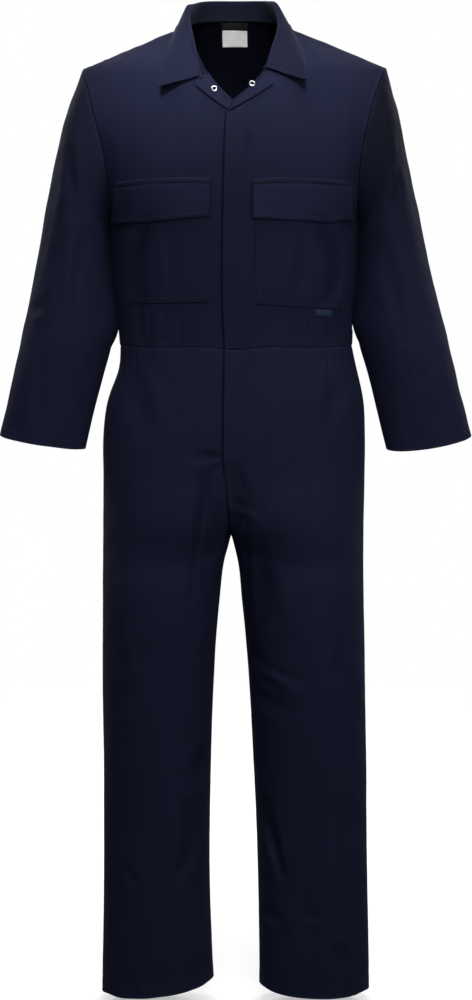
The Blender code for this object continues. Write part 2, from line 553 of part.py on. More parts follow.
def lifted(name, grid, normals, lift, colour):
    """A piece made from panel points moved out along their normals."""
    piece = Piece(name, colour)
    lift = np.asarray(lift, float)
    lift = lift[:, None, None] if lift.ndim == 1 else lift[..., None] if lift.ndim == 2 else lift
    piece.grid(grid + normals * lift, body_axis)
    return piece


def grid_normals(piece, grid, shared):
    own = piece.normals()
    out = np.zeros_like(grid)
    for i in range(grid.shape[0]):
        for j in range(grid.shape[1]):
            key = tuple(np.round(grid[i, j], 3))
            out[i, j] = unit(shared.get(key, own[piece.found[key]]))
    return out


def ring(name, x, z, trees):
    """A flat ring press stud laid on a facing."""
    centre, n = lay(trees, x, z)
    n = unit(n)
    u = unit(np.cross(n, [0, 0, 1.0]))
    v = np.cross(n, u)
    spots = [centre + (u * np.cos(w) + v * np.sin(w)) * r for w in np.linspace(0, 6, 12) for r in (2.0, STUD_R)]
    high = max((lay(trees, q[0], q[2])[0] - centre) @ n for q in spots)
    centre = centre + n * (high + 0.3)
    count = 20
    pts = []
    for lift in (0.0, STUD_T):
        for radius in (STUD_HOLE, STUD_R):
            for k in range(count):
                w = 2 * np.pi * k / count
                pts.append(centre + n * lift + (u * np.cos(w) + v * np.sin(w)) * radius)
    faces = []
    for k in range(count):
        m = (k + 1) % count
        low_in, low_out, top_in, top_out = 0, count, 2 * count, 3 * count
        faces += [(low_in + k, low_in + m, low_out + m), (low_in + k, low_out + m, low_out + k),
                  (top_in + k, top_out + k, top_out + m), (top_in + k, top_out + m, top_in + m),
                  (low_out + k, low_out + m, top_out + m), (low_out + k, top_out + m, top_out + k),
                  (low_in + k, top_in + k, top_in + m), (low_in + k, top_in + m, low_in + m)]
    p = np.array(pts)
    vol = sum(np.dot(p[a], np.cross(p[b], p[c])) for a, b, c in faces)
    if vol < 0:
        faces = [(a, c, b) for a, b, c in faces]
    make(name, p, faces, STEEL, 0.35, 1.0)


def main():
    for obj in list(bpy.data.objects):
        bpy.data.objects.remove(obj, do_unlink=True)
    pieces, front, back, legs = build()
    sides = ("right", "left")

    collar = Piece("collar", FACING)
    halves = {s: collar_half(s, neck_line(front, back, s)) for s in sides}
    trees = [skin(pieces[n]) for n in ("front_right", "front_left", "back")]
    for s in sides:
        g = halves[s]
        for i in range(g.shape[0]):
            for j in range(6, g.shape[1]):
                p = Vector(g[i, j])
                best = min((t.find_nearest(p) for t in trees), key=lambda h: h[3])
                hit, nor, _, dist = best
                nor = np.array(nor)
                need = 4.0 + 2.5 * np.exp(-(g[i, j, 1] / 30.0)**2) + 1.2 * (g[i, j, 1] > 40)
                depth = (g[i, j] - np.array(hit)) @ nor
                if depth < need:
                    g[i, j] += nor * (need - depth)
        collar.grid(g, lambda m: m * [0.0, 0.0, 1.0], probe=2)
    pieces["collar"] = collar

    shared = {}
    for piece in pieces.values():
        for q, n in zip(piece.points, piece.normals(False)):
            key = tuple(np.round(q, 3))
            shared[key] = shared.get(key, np.zeros(3)) + n

    top = {}
    for s in sides:
        body = pieces["front_" + s]
        nrm = grid_normals(body, front[s], shared)
        r0, r1 = ROWS.index(2), ROWS.index(6)
        cols = slice(POCKET_COL, POCKET_OUT + 1)
        bag = lifted("pocket_" + s, front[s][r0:r1 + 1, cols], nrm[r0:r1 + 1, cols],
                     np.full(r1 + 1 - r0, LIFT + PATCH), NAVY)
        top[bag.name] = bag
        r0, r1 = ROWS.index(5), ROWS.index(7)
        g, m = front[s][r0:r1 + 1, cols], nrm[r0:r1 + 1, cols]
        half = (g[-1] + g[-2]) / 2
        g = np.concatenate([g[:-1], half[None], g[-1:]])
        m = unit(np.concatenate([m[:-1], ((m[-1] + m[-2]) / 2)[None], m[-1:]]))
        high = 2 * (LIFT + PATCH) + 0.4
        flap = lifted("flap_" + s, g, m, np.array([high, high, high, LIFT + PATCH]), NAVY)
        top[flap.name] = flap

    band = Piece("waist_elastic", NAVY_DARK)
    band.grid(elastic(back), body_axis)
    top["waist_elastic"] = band

    chest = [skin(pieces["front_right"]), skin(pieces["front_left"])]
    hips = [skin(pieces["leg_front_right"]), skin(pieces["leg_front_left"])]
    z_top = np.linspace(-168, -509, 12)
    xs = (-PLACKET_RIGHT, -9.0, 5.0, PLACKET_LEFT)
    head = [[(-21, -139.5), (-9.5, -148.5), (5, -142), (22, -131)]]
    upper = np.array(head + [[(x, z) for x in xs] for z in z_top])
    top["placket_upper"] = laid("placket_upper", upper, chest, LIFT, PATCH, NAVY)
    low = []
    for z in np.linspace(-514.5, PLACKET_END, 7):
        w = np.clip((z + 650) / -36.0, 0, 1)
        left_x = PLACKET_LEFT - w * w * 20
        low.append([(x, z) for x in (-PLACKET_RIGHT, -9.0, 5.0 - w * 8, left_x)])
    top["placket_lower"] = laid("placket_lower", np.array(low), hips, LIFT, PATCH, NAVY)
    for s, corners in (("right", LAPEL_RIGHT), ("left", LAPEL_LEFT)):
        top["lapel_" + s] = laid("lapel_" + s, quad(corners, 8, 3), chest, LIFT + 0.9, PATCH, FACING)
    x0, x1, z1, z0 = TAB
    top["pocket_tab"] = laid("pocket_tab", quad([(x0, z1), (x1, z1 - 1.5), (x1, z0 - 1.5), (x0, z0)], 5, 2),
                             chest, LIFT + 0.3, 0.8, TABBED)

    made = {}
    for name, piece in pieces.items():
        pts, faces = thicken(piece, shared, CLOTH)
        make(name, pts, faces, piece.colour, piece.rough, piece.metal)
        made[name] = (pts, faces)
    for name, piece in top.items():
        wall = 0.8 if name == "pocket_tab" else PATCH
        pts, faces = thicken(piece, {}, wall, 0.0)
        make(name, pts, faces, piece.colour, piece.rough, piece.metal)

    pts, faces = made["back"]
    inside = [BVHTree.FromPolygons([Vector(p) for p in pts], [tuple(f) for f in faces])]
    for name, box, colour in (("neck_label", LABEL, PALE), ("label_strip", STRIP, (0.01, 0.01, 0.012))):
        x0, x1, z1, z0 = box
        piece = laid(name, quad([(x0, z1), (x1, z1), (x1, z0), (x0, z0)], 6, 4), inside, 0.8, 0.6, colour,
                     from_y=0.0)
        pts, faces = thicken(piece, {}, 0.6, 0.0)
        make(name, pts, faces, colour, 0.9)

    over = [skin(top["lapel_right"]), skin(top["lapel_left"])]
    for s in sides:
        ring("stud_" + s, *STUDS[s], over)


main()
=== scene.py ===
"""Boiler suit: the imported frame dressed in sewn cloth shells, stitches and press studs.

Tables and lengths are in millimetres and become metres where a mesh is made. +X is the
wearer's left, -Y the front and +Z up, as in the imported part.
"""
import math

import bpy
import numpy as np
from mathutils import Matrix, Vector
from mathutils.bvhtree import BVHTree
from mathutils.interpolate import poly_3d_calc


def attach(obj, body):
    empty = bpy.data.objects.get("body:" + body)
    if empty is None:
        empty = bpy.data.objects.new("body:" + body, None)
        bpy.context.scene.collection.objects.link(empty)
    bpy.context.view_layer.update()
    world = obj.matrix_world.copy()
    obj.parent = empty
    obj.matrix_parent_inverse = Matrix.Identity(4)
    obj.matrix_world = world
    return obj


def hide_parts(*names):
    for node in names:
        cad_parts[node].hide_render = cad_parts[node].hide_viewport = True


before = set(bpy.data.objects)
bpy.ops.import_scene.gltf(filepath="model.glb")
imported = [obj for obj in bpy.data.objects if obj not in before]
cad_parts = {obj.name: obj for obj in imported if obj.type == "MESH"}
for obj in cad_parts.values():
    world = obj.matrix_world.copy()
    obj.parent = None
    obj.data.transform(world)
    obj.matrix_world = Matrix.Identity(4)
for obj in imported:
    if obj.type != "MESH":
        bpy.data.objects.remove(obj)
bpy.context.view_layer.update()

MM = 0.001
CLOTH = 1.1                                  # wall of the body cloth
HEM_EXTRA = 1.2                              # more wall where a hem is turned up
PATCH = 1.2                                  # wall of a piece laid on the body
LIFT = 0.5                                   # clearance under it
STEP = 4.4                                   # spacing of the body mesh
PANEL_WIDE = 290.0                           # usual width of a body panel
SIDES = ("right", "left")
SIGN = {"right": -1.0, "left": 1.0}
EDGE_STEPS = (0.0, 0.8, 1.7, 2.9, 4.6)       # mesh spacing beside a seam
FINE_STEPS = (0.0, 0.3, 0.7, 1.2, 1.7, 2.3, 3.1, 4.3)


def unit(v):
    return v / np.maximum(np.linalg.norm(v, axis=-1, keepdims=True), 1e-9)


def ramp(x):
    """Smooth step from 0 to 1 while x goes from 0 to 1."""
    x = np.clip(x, 0, 1)
    return x * x * (3 - 2 * x)


def bell(x, wide):
    """1 where x is 0, falling off on both sides over about wide."""
    return np.exp(-(x / wide)**2)


def table(names, *rows):
    """A short table as a dict of columns."""
    return dict(zip(names.split(), np.array(rows, float).T))


# ---------------------------------------------------------------- sizes of the part
SIDE = table(
    "z right left",
    (-309, 200.5, 197.5), (-336, 199.9, 197.5), (-401, 196.2, 195.4), (-465, 190.1, 191.8),
    (-497, 187.1, 190.3), (-515, 186.4, 190.6), (-530, 185.8, 194.4), (-562, 198.8, 204.6),
    (-595, 208.0, 209.7), (-628, 213.1, 211.5), (-660, 215.8, 212.6), (-726, 215.4, 212.2),
    (-813, 216.8, 211.1), (-924, 217.6, 211.8), (-991, 218.1, 213.6), (-1091, 218.7, 215.4),
    (-1193, 217.8, 218.1), (-1294, 218.4, 219.2), (-1397, 219.1, 221.2), (-1500, 221.5, 224.0),
    (-1590, 223.6, 225.6))
INSEAM = table(
    "z right left",
    (-816, 6.0, -6.0), (-838, 14.0, 2.4), (-858, 18.1, 4.9), (-891, 21.4, 8.2), (-924, 25.6, 11.5),
    (-991, 31.4, 18.2), (-1091, 36.5, 25.3), (-1193, 39.6, 30.4), (-1294, 41.7, 35.3), (-1397, 41.8, 38.4),
    (-1500, 38.6, 40.2), (-1590, 35.5, 41.5))
SLEEVE_OUT = table(
    "z right left",
    (-64, 244.3, 243.0), (-78, 252.4, 247.5), (-106, 260.7, 254.3), (-144, 272.3, 262.7),
    (-208, 289.0, 277.8), (-272, 302.6, 291.8), (-336, 314.5, 305.3), (-400, 326.5, 320.9),
    (-465, 340.2, 337.0), (-530, 354.0, 353.2), (-595, 369.4, 369.4), (-655, 383.0, 385.0))
SLEEVE_IN = table(
    "z right left",
    (-318, 205.0, 204.5), (-336, 205.0, 204.5), (-370, 203.0, 202.0), (-415, 200.0, 200.2),
    (-462, 197.6, 198.6), (-497, 199.0, 200.6), (-530, 207.2, 210.4), (-562, 215.5, 218.8),
    (-595, 223.9, 227.2), (-628, 233.2, 234.0), (-675, 243.0, 246.0))
FRONT = table(
    "cx cy cz ax ay az bx by bz",
    (0, -112, -512, 112, 0, 0, 0, -66, 0), (0, -114, -478, 113, 0, 0, 0, -68, 0),
    (0, -117, -441, 115, 0, 0, 0, -70, 0), (0, -120, -397, 118, 0, 0, 0, -72, 0),
    (0, -122, -353, 120, 0, 0, 0, -73, 0), (0, -123, -309, 121, 0, 0, 0, -72, 0),
    (0, -123, -281, 126, 0, 0, -3, -52, 0), (0, -122, -249, 130, 0, 0, -14, -40, 0),
    (0, -119, -208, 124, 0, 0, -28, -32, 0), (-1, -115, -167, 112, 0, 3, -38, -28, 4),
    (-3, -110, -129, 104, -2, 6, -48, -26, 8), (28, -103, -103, 84, -6, 6, -54, -22, 12),
    (46, -88, -79, 73, -10, 6, -58, -16, 18), (65, -52, -41, 60, -6, -8, -60, -8, 22),
    (77, 2, 2, 52, 0, -18, -56, 0, 24))
BACK = table(
    "cx cy cz ax ay az bx by bz",
    (0, 118, -506, 110, 0, 0, 0, 66, 0), (0, 119, -476, 112, 0, 0, 0, 66, 0),
    (0, 121, -441, 114, 0, 0, 0, 68, 0), (0, 124, -397, 116, 0, 0, 0, 70, 0),
    (0, 127, -352, 118, 0, 0, 0, 72, 0), (0, 129, -309, 120, 0, 0, 0, 72, 0),
    (0, 131, -262, 120, 0, 0, -10, 58, 0), (0, 131, -210, 118, 0, 0, -32, 44, 0),
    (0, 128, -155, 112, 2, 0, -52, 34, 2), (0, 117, -95, 100, 4, 0, -66, 26, 6),
    (0, 97, -35, 85, 6, 0, -70, 24, 14), (0, 66, 22, 70, 12, -6, -66, 26, 22),
    (38, 62, 21, 62, 10, -12, -62, 16, 24), (63, 40, 15, 55, 4, -16, -58, 6, 24),
    (77, 2, 2, 52, 0, -18, -56, 0, 24))
ARMHOLE = table(
    "right left yf zf zl rb lb yb zb",
    (200.5, 197.5, 5, -309, -309, 200.5, 197.5, 5, -309),
    (200.5, 196.0, -30, -282, -282, 203.5, 201.0, 38, -284),
    (202.5, 196.0, -50, -249, -249, 208.0, 204.0, 62, -252),
    (207.0, 199.5, -58, -205, -205, 213.0, 208.0, 76, -210),
    (217.0, 208.0, -54, -165, -164, 219.0, 214.0, 80, -170),
    (226.5, 217.0, -43, -130, -128, 226.0, 220.0, 74, -135),
    (233.5, 226.0, -30, -102, -100, 232.0, 227.0, 60, -106),
    (239.0, 233.5, -18, -83, -81, 238.0, 234.0, 44, -86),
    (243.0, 239.5, -7, -70, -68, 242.0, 240.0, 24, -71), (244.3, 243.0, 5, -64, -62, 244.3, 243.0, 5, -64))
HOLE_KEYS = {("front", "right"): "right yf zf", ("front", "left"): "left yf zl",
             ("back", "right"): "rb yb zb", ("back", "left"): "lb yb zb"}
SIDE_Z = table(
    "right left",
    (-506, -506), (-476, -480), (-440, -453), (-397, -404), (-353, -356))
# Both panels of a leg under the crotch: z of the inseam and of the side seam, lean of the inseam,
# and how far the front and then the back reach out at the inseam and at the side seam
LOWER_LEG = (
    (-858, -895, -32, -142, -139, 154, 151), (-915, -935, -18, -141, -138, 152, 149),
    (-985, -990, -4, -135, -133, 144, 142), (-1060, -1062, 0, -127, -126, 134, 132),
    (-1130, -1130, 0, -118, -118, 122, 120), (-1200, -1200, 0, -110, -110, 112, 110),
    (-1280, -1280, 0, -101, -101, 105, 104), (-1360, -1360, 0, -93, -93, 99, 99),
    (-1440, -1440, 0, -86, -86, 92, 92), (-1508, -1514, 0, -81, -81, 85, 85),
    (-1566, -1582, 0, -77, -77, 78, 78))


def leg_table(reach, *top):
    """A trouser panel: its own rows down to the crotch, then the shared ones."""
    low = [(0, 0, row[0], 0, row[reach], row[2], 0, row[1], 0, row[reach + 1], 0) for row in LOWER_LEG]
    return table("cx cy cz ax ay az ey ez bx by bz", *top, *low)


LEG_FRONT = leg_table(
    3, (0, -112, -512, 112, 0, 0, 5, -506, 0, -66, 0), (0, -116, -545, 118, 0, 0, 5, -538, 0, -70, 0),
    (0, -120, -595, 122, 0, 0, 5, -595, 0, -76, 0), (-8, -121, -655, 122, 0, 0, 5, -655, 0, -83, 0),
    (-14, -116, -715, 114, -8, -2, 5, -712, 0, -90, 0), (-12, -100, -765, 84, -46, -8, 4, -760, 0, -99, 0),
    (-9, -72, -797, 52, -84, -8, 3, -800, 0, -110, 0), (-7, -36, -812, 26, -112, -20, 2, -832, 0, -121, 0),
    (-6, 0, -816, 8, -138, -44, 1, -862, 0, -132, 0))
LEG_BACK = leg_table(
    5, (0, 118, -506, 110, 0, 0, 5, -506, 0, 66, 0), (0, 122, -545, 116, 0, 0, 5, -538, 0, 70, 0),
    (0, 128, -600, 124, 0, 0, 5, -595, 0, 78, 0), (-4, 132, -660, 128, 0, 0, 5, -655, 0, 86, 0),
    (-6, 130, -715, 122, 8, 0, 5, -712, 0, 96, 0), (-6, 116, -762, 94, 42, -8, 4, -760, 0, 108, 0),
    (-6, 84, -795, 58, 88, -10, 3, -800, 0, 120, 0), (-6, 44, -810, 28, 120, -22, 2, -832, 0, 134, 0),
    (-6, 0, -816, 8, 150, -44, 1, -862, 0, 146, 0))
HEM_SLANT = {"right": (6.0, -1.0), "left": (-4.0, 4.0)}
HEM_SAG, CUFF_SAG = 6.0, {"right": 4.5, "left": 9.5}
SLEEVE = table(
    "zi zo y front back",
    (-322, -122, 6, 74, 84), (-342, -196, 6, 82, 88), (-374, -276, 5, 85, 88), (-415, -362, 3, 84, 84),
    (-460, -446, 0, 81, 79), (-502, -510, -4, 76, 74), (-556, -562, -8, 66, 66), (-614, -606, -12, 54, 54),
    (-673, -651, -15, 41, 41))
COLLAR = table(
    "s rx ry rz lx ly lz",
    (0.00, 0, 75, 55, 0, 95, 6), (0.17, 40, 69, 54, 51, 88, 5), (0.35, 66, 46, 49, 78, 60, 4),
    (0.50, 75, 14, 40, 92, 12, -4), (0.62, 75, -14, 20, 101, -26, -24),
    (0.76, 69, -46, -14, 110, -66, -58), (0.90, 61, -76, -50, 113, -100, -86),
    (1.00, 52, -96, -76, 114, -116, -106))
LEAF_RISE = {"right": -4.5, "left": 6.0}     # how much higher the end of each leaf lies
LEAF_OUT = {"right": 3.5, "left": -2.4}      # and how much further out
COLLAR_IN = {"right": (2.5, 3.0), "left": (14.0, 10.0)}  # roll and leaf nearer the middle beside the neck
ROLL_RISE = {"right": -19.0, "left": -2.5}   # how much higher the end of each roll lies

# Folds as soft troughs (deep > 0) and ridges (deep < 0) along a bent line in x and z.
# face: -1 front, 1 back, -2 front of a sleeve, 2 back of a sleeve
FOLDS = table(
    "face x0 z0 x1 z1 x2 z2 wide deep",
    (-1, -135, -314, -154, -370, -151, -434, 12, 5.0), (-1, 129, -318, 158, -378, 143, -436, 12, 5.0),
    (-1, -62, -682, -41, -679, -20, -682, 8, 4.0), (-1, -52, -722, -62, -812, -70, -910, 12, 5.5),
    (-1, -39, -734, -43, -793, -39, -841, 8, 4.0), (-1, 18, -777, 20, -870, 21, -970, 7, 4.0),
    (-1, 38, -812, 46, -878, 53, -942, 13, 3.5), (-1, -43, -1163, -56, -1189, -68, -1217, 14, 4.5),
    (-1, -72, -1253, -75, -1317, -92, -1368, 15, 5.0), (-1, 46, -1255, 64, -1317, 77, -1370, 13, 6.0),
    (-1, 30, -1022, 69, -1042, 107, -1062, 16, -2.5), (-1, 168, -980, 168, -1005, 168, -1031, 14, 2.5),
    (-1, 156, -1488, 169, -1504, 181, -1520, 13, 3.0), (-1, -165, -560, -150, -600, -140, -640, 16, 2.5),
    (-1, 165, -560, 150, -600, 142, -640, 16, 2.5), (1, -60, -800, -90, -840, -130, -862, 15, 4.5),
    (1, 60, -800, 90, -838, 126, -866, 15, 4.5), (1, -55, -1120, -100, -1140, -150, -1132, 16, 5.0),
    (1, 60, -1136, 104, -1152, 152, -1140, 16, 5.0), (1, -70, -1200, -110, -1214, -150, -1204, 15, 4.0),
    (1, 76, -1216, 116, -1226, 156, -1210, 15, 4.0), (1, -60, -330, -110, -380, -150, -440, 15, 4.5),
    (1, 64, -340, 108, -392, 150, -446, 15, 4.5), (1, -30, -452, -34, -400, -30, -350, 14, 3.0),
    (1, 34, -456, 36, -408, 30, -356, 14, 3.0), (1, -88, -456, -92, -424, -84, -380, 10, 2.6),
    (1, 86, -458, 92, -430, 88, -386, 10, 2.6), (1, 2, -458, 4, -430, 0, -390, 9, 2.2),
    (1, -60, -530, -64, -560, -60, -596, 8, 2.0), (1, 58, -532, 64, -566, 60, -600, 8, 2.0),
    (1, -116, -528, -118, -560, -112, -590, 8, 2.0), (1, 114, -528, 120, -556, 114, -588, 8, 2.0),
    (1, -20, -534, -24, -570, -20, -610, 9, 2.2), (1, 20, -532, 22, -566, 18, -604, 9, 2.2),
    (1, -80, -1340, -110, -1380, -150, -1400, 14, 3.0), (1, 84, -1330, 118, -1368, 158, -1386, 14, 3.0),
    (-1, -48, -716, -40, -706, -28, -696, 6, 2.5), (-1, -10, -750, 12, -757, 34, -757, 8, 2.0),
    (-1, 24, -772, 32, -778, 40, -790, 6, -2.0), (-1, -28, -760, -30, -800, -27, -850, 6, 2.5),
    (-1, 8, -700, 14, -730, 30, -752, 7, 1.8), (-1, -60, -1040, -59, -1054, -56, -1070, 10, 2.5),
    (-1, -82, -1130, -79, -1143, -74, -1158, 10, 2.2),
    (-1, -172, -1362, -168, -1374, -160, -1388, 10, 2.2), (-1, -58, -956, -56, -969, -52, -984, 11, -2.2),
    (-1, 56, -1436, 62, -1444, 72, -1450, 10, 2.2), (-1, 124, -1430, 131, -1438, 140, -1446, 11, 2.0),
    (-1, 172, -1300, 172, -1318, 170, -1336, 11, 2.0), (-1, -180, -318, -162, -324, -142, -332, 10, 2.5),
    (-1, 117, -330, 119, -372, 116, -430, 9, -2.2), (-1, 96, -330, 98, -376, 96, -430, 8, 1.8),
    (-1, 14, -178, 21, -188, 18, -202, 4, 1.2), (-1, -4, -712, 8, -748, 6, -792, 15, 4.0),
    (-1, 9, -770, 22, -762, 37, -750, 6, -2.0), (-1, 40, -700, 42, -712, 40, -726, 5, 2.0),
    (-1, -110, -330, -113, -372, -110, -430, 9, -2.0), (-1, 28, -1062, 54, -1080, 84, -1090, 12, 2.6),
    (-1, 24, -984, 30, -1004, 44, -1022, 10, 2.6), (-1, -168, -512, -169, -530, -170, -548, 3.6, 1.4),
    (-1, -159, -511, -159, -536, -161, -556, 3.8, 1.6), (-1, -150, -511, -149, -526, -148, -540, 3.4, 1.2),
    (-1, 138, -511, 137, -530, 136, -552, 3.8, 1.5), (-1, 148, -511, 148, -536, 149, -560, 3.8, 1.6),
    (-1, 158, -511, 159, -528, 160, -545, 3.6, 1.3), (-1, 14, -518, 15, -534, 17, -556, 4.0, 1.2),
    (-1, 24, -514, 25, -532, 27, -552, 4.2, 1.2), (-1, -133, -452, -134, -476, -133, -500, 4.4, 1.3),
    (-1, -112, -450, -110, -478, -111, -502, 5.0, 1.1), (-1, -84, -450, -86, -476, -84, -500, 5.0, 0.9),
    (-1, -149, -450, -151, -474, -150, -500, 4.2, 1.4), (-1, 96, -454, 97, -478, 96, -502, 4.6, 1.0),
    (-1, 118, -464, 117, -482, 118, -502, 4.4, 1.2), (-1, 146, -464, 148, -482, 147, -502, 4.2, 1.4),
    (-1, 60, -452, 61, -476, 60, -500, 5.4, 0.8), (-2, 322, -420, 340, -446, 352, -462, 9, 2.0),
    (-2, -318, -398, -334, -416, -344, -440, 9, 2.2), (-2, -300, -430, -312, -446, -328, -452, 8, 1.8),
    (-2, 232, -340, 252, -420, 268, -500, 12, 3.0), (-2, -236, -330, -252, -400, -266, -480, 12, 3.0),
    (-2, 262, -180, 258, -240, 250, -300, 13, 2.6), (-2, -262, -170, -258, -236, -250, -300, 13, 2.6),
    (-2, 290, -520, 300, -570, 312, -620, 11, 1.8), (-2, -296, -510, -306, -560, -318, -612, 11, 1.8),
    (2, 240, -330, 262, -380, 300, -410, 12, 3.4), (2, -244, -336, -266, -388, -306, -414, 12, 3.4),
    (2, 262, -250, 262, -300, 250, -350, 12, 2.6), (2, -264, -240, -264, -296, -250, -346, 12, 2.6),
    (2, 300, -460, 318, -478, 342, -486, 9, 2.2), (2, -302, -452, -322, -472, -344, -476, 9, 2.2),
    (2, 286, -540, 298, -580, 308, -630, 11, 1.8), (2, -290, -540, -302, -584, -312, -628, 11, 1.8),
    (1, -96, -200, -120, -250, -128, -310, 15, 3.0), (1, 96, -206, 122, -256, 130, -314, 15, 3.0),
    (1, 0, -90, 2, -130, -2, -180, 16, 1.6), (1, -130, -560, -122, -620, -128, -690, 15, 3.0),
    (1, 128, -566, 122, -626, 126, -690, 15, 3.0), (1, -36, -700, -60, -740, -92, -760, 12, 3.0),
    (1, 38, -706, 62, -742, 96, -764, 12, 3.0), (1, -70, -920, -76, -990, -80, -1060, 14, 2.6),
    (1, 72, -920, 76, -996, 84, -1064, 14, 2.6))


# ---------------------------------------------------------------- curves and surfaces
def smooth(stations, values, at):
    """Smooth curve through values (n x anything) at rising stations."""
    t, p = np.asarray(stations, float), np.asarray(values, float)
    one = p.ndim == 1
    p = p[:, None] if one else p
    h = np.diff(t)[:, None]
    d = np.diff(p, axis=0) / h
    m = np.vstack([d[:1], (d[:-1] * h[1:] + d[1:] * h[:-1]) / (h[1:] + h[:-1]), d[-1:]])
    x = np.clip(np.atleast_1d(np.asarray(at, float)), t[0], t[-1])
    i = np.clip(np.searchsorted(t, x, side="right") - 1, 0, len(t) - 2)
    w = ((x - t[i]) / (t[i + 1] - t[i]))[:, None]
    g = (t[i + 1] - t[i])[:, None]
    out = ((2 * w**3 - 3 * w**2 + 1) * p[i] + (w**3 - 2 * w**2 + w) * g * m[i]
           + (3 * w**2 - 2 * w**3) * p[i + 1] + (w**3 - w**2) * g * m[i + 1])
    return out[:, 0] if one else out


def width(tab, side, z):
    """How far out a seam line lies at heights z."""
    return smooth(tab["z"][::-1], tab[side][::-1], z)


def stack(tab, keys):
    return np.stack([tab[k] for k in keys.split()], axis=1)


def chord(points):
    """Distance run along points, starting at 0."""
    return np.concatenate([[0], np.cumsum(np.linalg.norm(np.diff(points, axis=0), axis=-1))])


def sampled(values, run, at):
    """Columns of values, known at rising places run, at other places."""
    return np.stack([np.interp(at, run, column) for column in values.T], axis=1)


def through(points, rows, corner=None):
    """Smooth curve through numbered points at fractional numbers, sharp at one number."""
    if corner is not None:
        low = rows <= corner
        out = np.empty((len(rows), 3))
        out[low] = through(points[:corner + 1], rows[low])
        out[~low] = through(points[corner:], rows[~low] - corner)
        return out
    run = chord(points)
    return smooth(run, points, np.interp(rows, np.arange(len(run)), run))


def stations(total, step, low=EDGE_STEPS, high=EDGE_STEPS):
    """Distances from 0 to total about step apart, closer at the ends."""
    low, high = np.array(low), np.array(high)
    count = max(2, int(round((total - low[-1] - high[-1]) / step)) + 1)
    middle = np.linspace(low[-1], total - high[-1], count)
    return np.concatenate([low[:-1], middle, (total - high[:-1])[::-1]])


def row_numbers(c, e, cuts, step):
    """Fractional row numbers about step apart that include every cut."""
    run = 0.5 * (chord(c) + chord(e))
    out = [0.0]
    for k, (p, q) in enumerate(zip(cuts[:-1], cuts[1:])):
        low = EDGE_STEPS if k == 0 else (0.0,)
        high = EDGE_STEPS if k == len(cuts) - 2 else (0.0,)
        s = stations(run[q] - run[p], step, low, high) + run[p]
        out += list(np.interp(s[1:], run, np.arange(len(run))))
    return np.array(out)


def surface(c, a, e, b, rows, corner, e_corner=None):
    """Points of a panel: every row a cubic from c to e with handles a and b."""
    inner, outer = through(c, rows, corner), through(e, rows, e_corner)
    run = 0.5 * (chord(c) + chord(e))
    at = np.interp(rows, np.arange(len(run)), run)
    near, far = smooth(run, a, at), smooth(run, b, at)
    t = np.linspace(0, 1, 97)[None, :, None]
    q = ((1 - t)**3 * inner[:, None] + 3 * (1 - t)**2 * t * (inner + near)[:, None]
         + 3 * (1 - t) * t**2 * (outer + far)[:, None] + t**3 * outer[:, None])
    return np.array([sampled(line, chord(line), SHARES * chord(line)[-1]) for line in q])


SHARES = stations(PANEL_WIDE, STEP) / PANEL_WIDE


def inner_ends(tab, side):
    """Inner ends of a panel's rows, and the handles at both ends."""
    c, a, b = (stack(tab, keys) for keys in ("cx cy cz", "ax ay az", "bx by bz"))
    a[:, 0] *= SIGN[side]
    b[:, 0] *= SIGN[side]
    return c, a, b


def bodice_ends(side, back):
    """Ends and handles of the rows of a bodice panel, from the waist up."""
    sign = SIGN[side]
    c, a, b = inner_ends(BACK if back else FRONT, side)
    if back:
        c[:, 0] *= sign
    else:
        c[11:, 0] -= side == "left"
        c[11:, 0] *= sign
    z = SIDE_Z[side]
    seam = np.stack([width(SIDE, side, z) * sign, np.full(5, 5.0), z], axis=1)
    hole = stack(ARMHOLE, HOLE_KEYS["back" if back else "front", side])
    hole[:, 0] *= sign
    hole[-1, 2] = -64 if side == "right" else -62        # both panels end at the sleeve's top
    return c, a, np.vstack([seam, hole]), b


def leg_ends(side, back):
    """Ends and handles of the rows of a trouser panel, from the waist down."""
    sign = SIGN[side]
    tab = LEG_BACK if back else LEG_FRONT
    c, a, b = inner_ends(tab, side)
    slant = np.clip((np.arange(20) - 14) / 5, 0, 1)
    c[9:, 2] += (slant * HEM_SLANT[side][0])[9:]
    ez = tab["ez"] + slant * HEM_SLANT[side][1]
    c[9:, 0] = width(INSEAM, side, c[9:, 2]) * sign
    e = np.stack([width(SIDE, side, ez) * sign, tab["ey"], ez], axis=1)
    return c, a, e, b


def close_up(side, z, on_sleeve):
    """Share of the slit between sleeve and body that each gives up, where the two hang together."""
    low = np.minimum(z, -318).ravel()
    slit = (width(SLEEVE_IN, side, low) - width(SIDE, side, low)).reshape(np.shape(z)) + 1.5
    share = 0.5 * np.clip((z + 450) / 60, 0, 1)
    foot, wide = (-508.0, 35.0) if side == "right" else (-500.5, 32.0)
    slit = slit * (1 - share if on_sleeve else share)
    return slit * np.clip((z - foot) / wide, 0, 1) * np.clip((-309 - z) / 5, 0, 1)


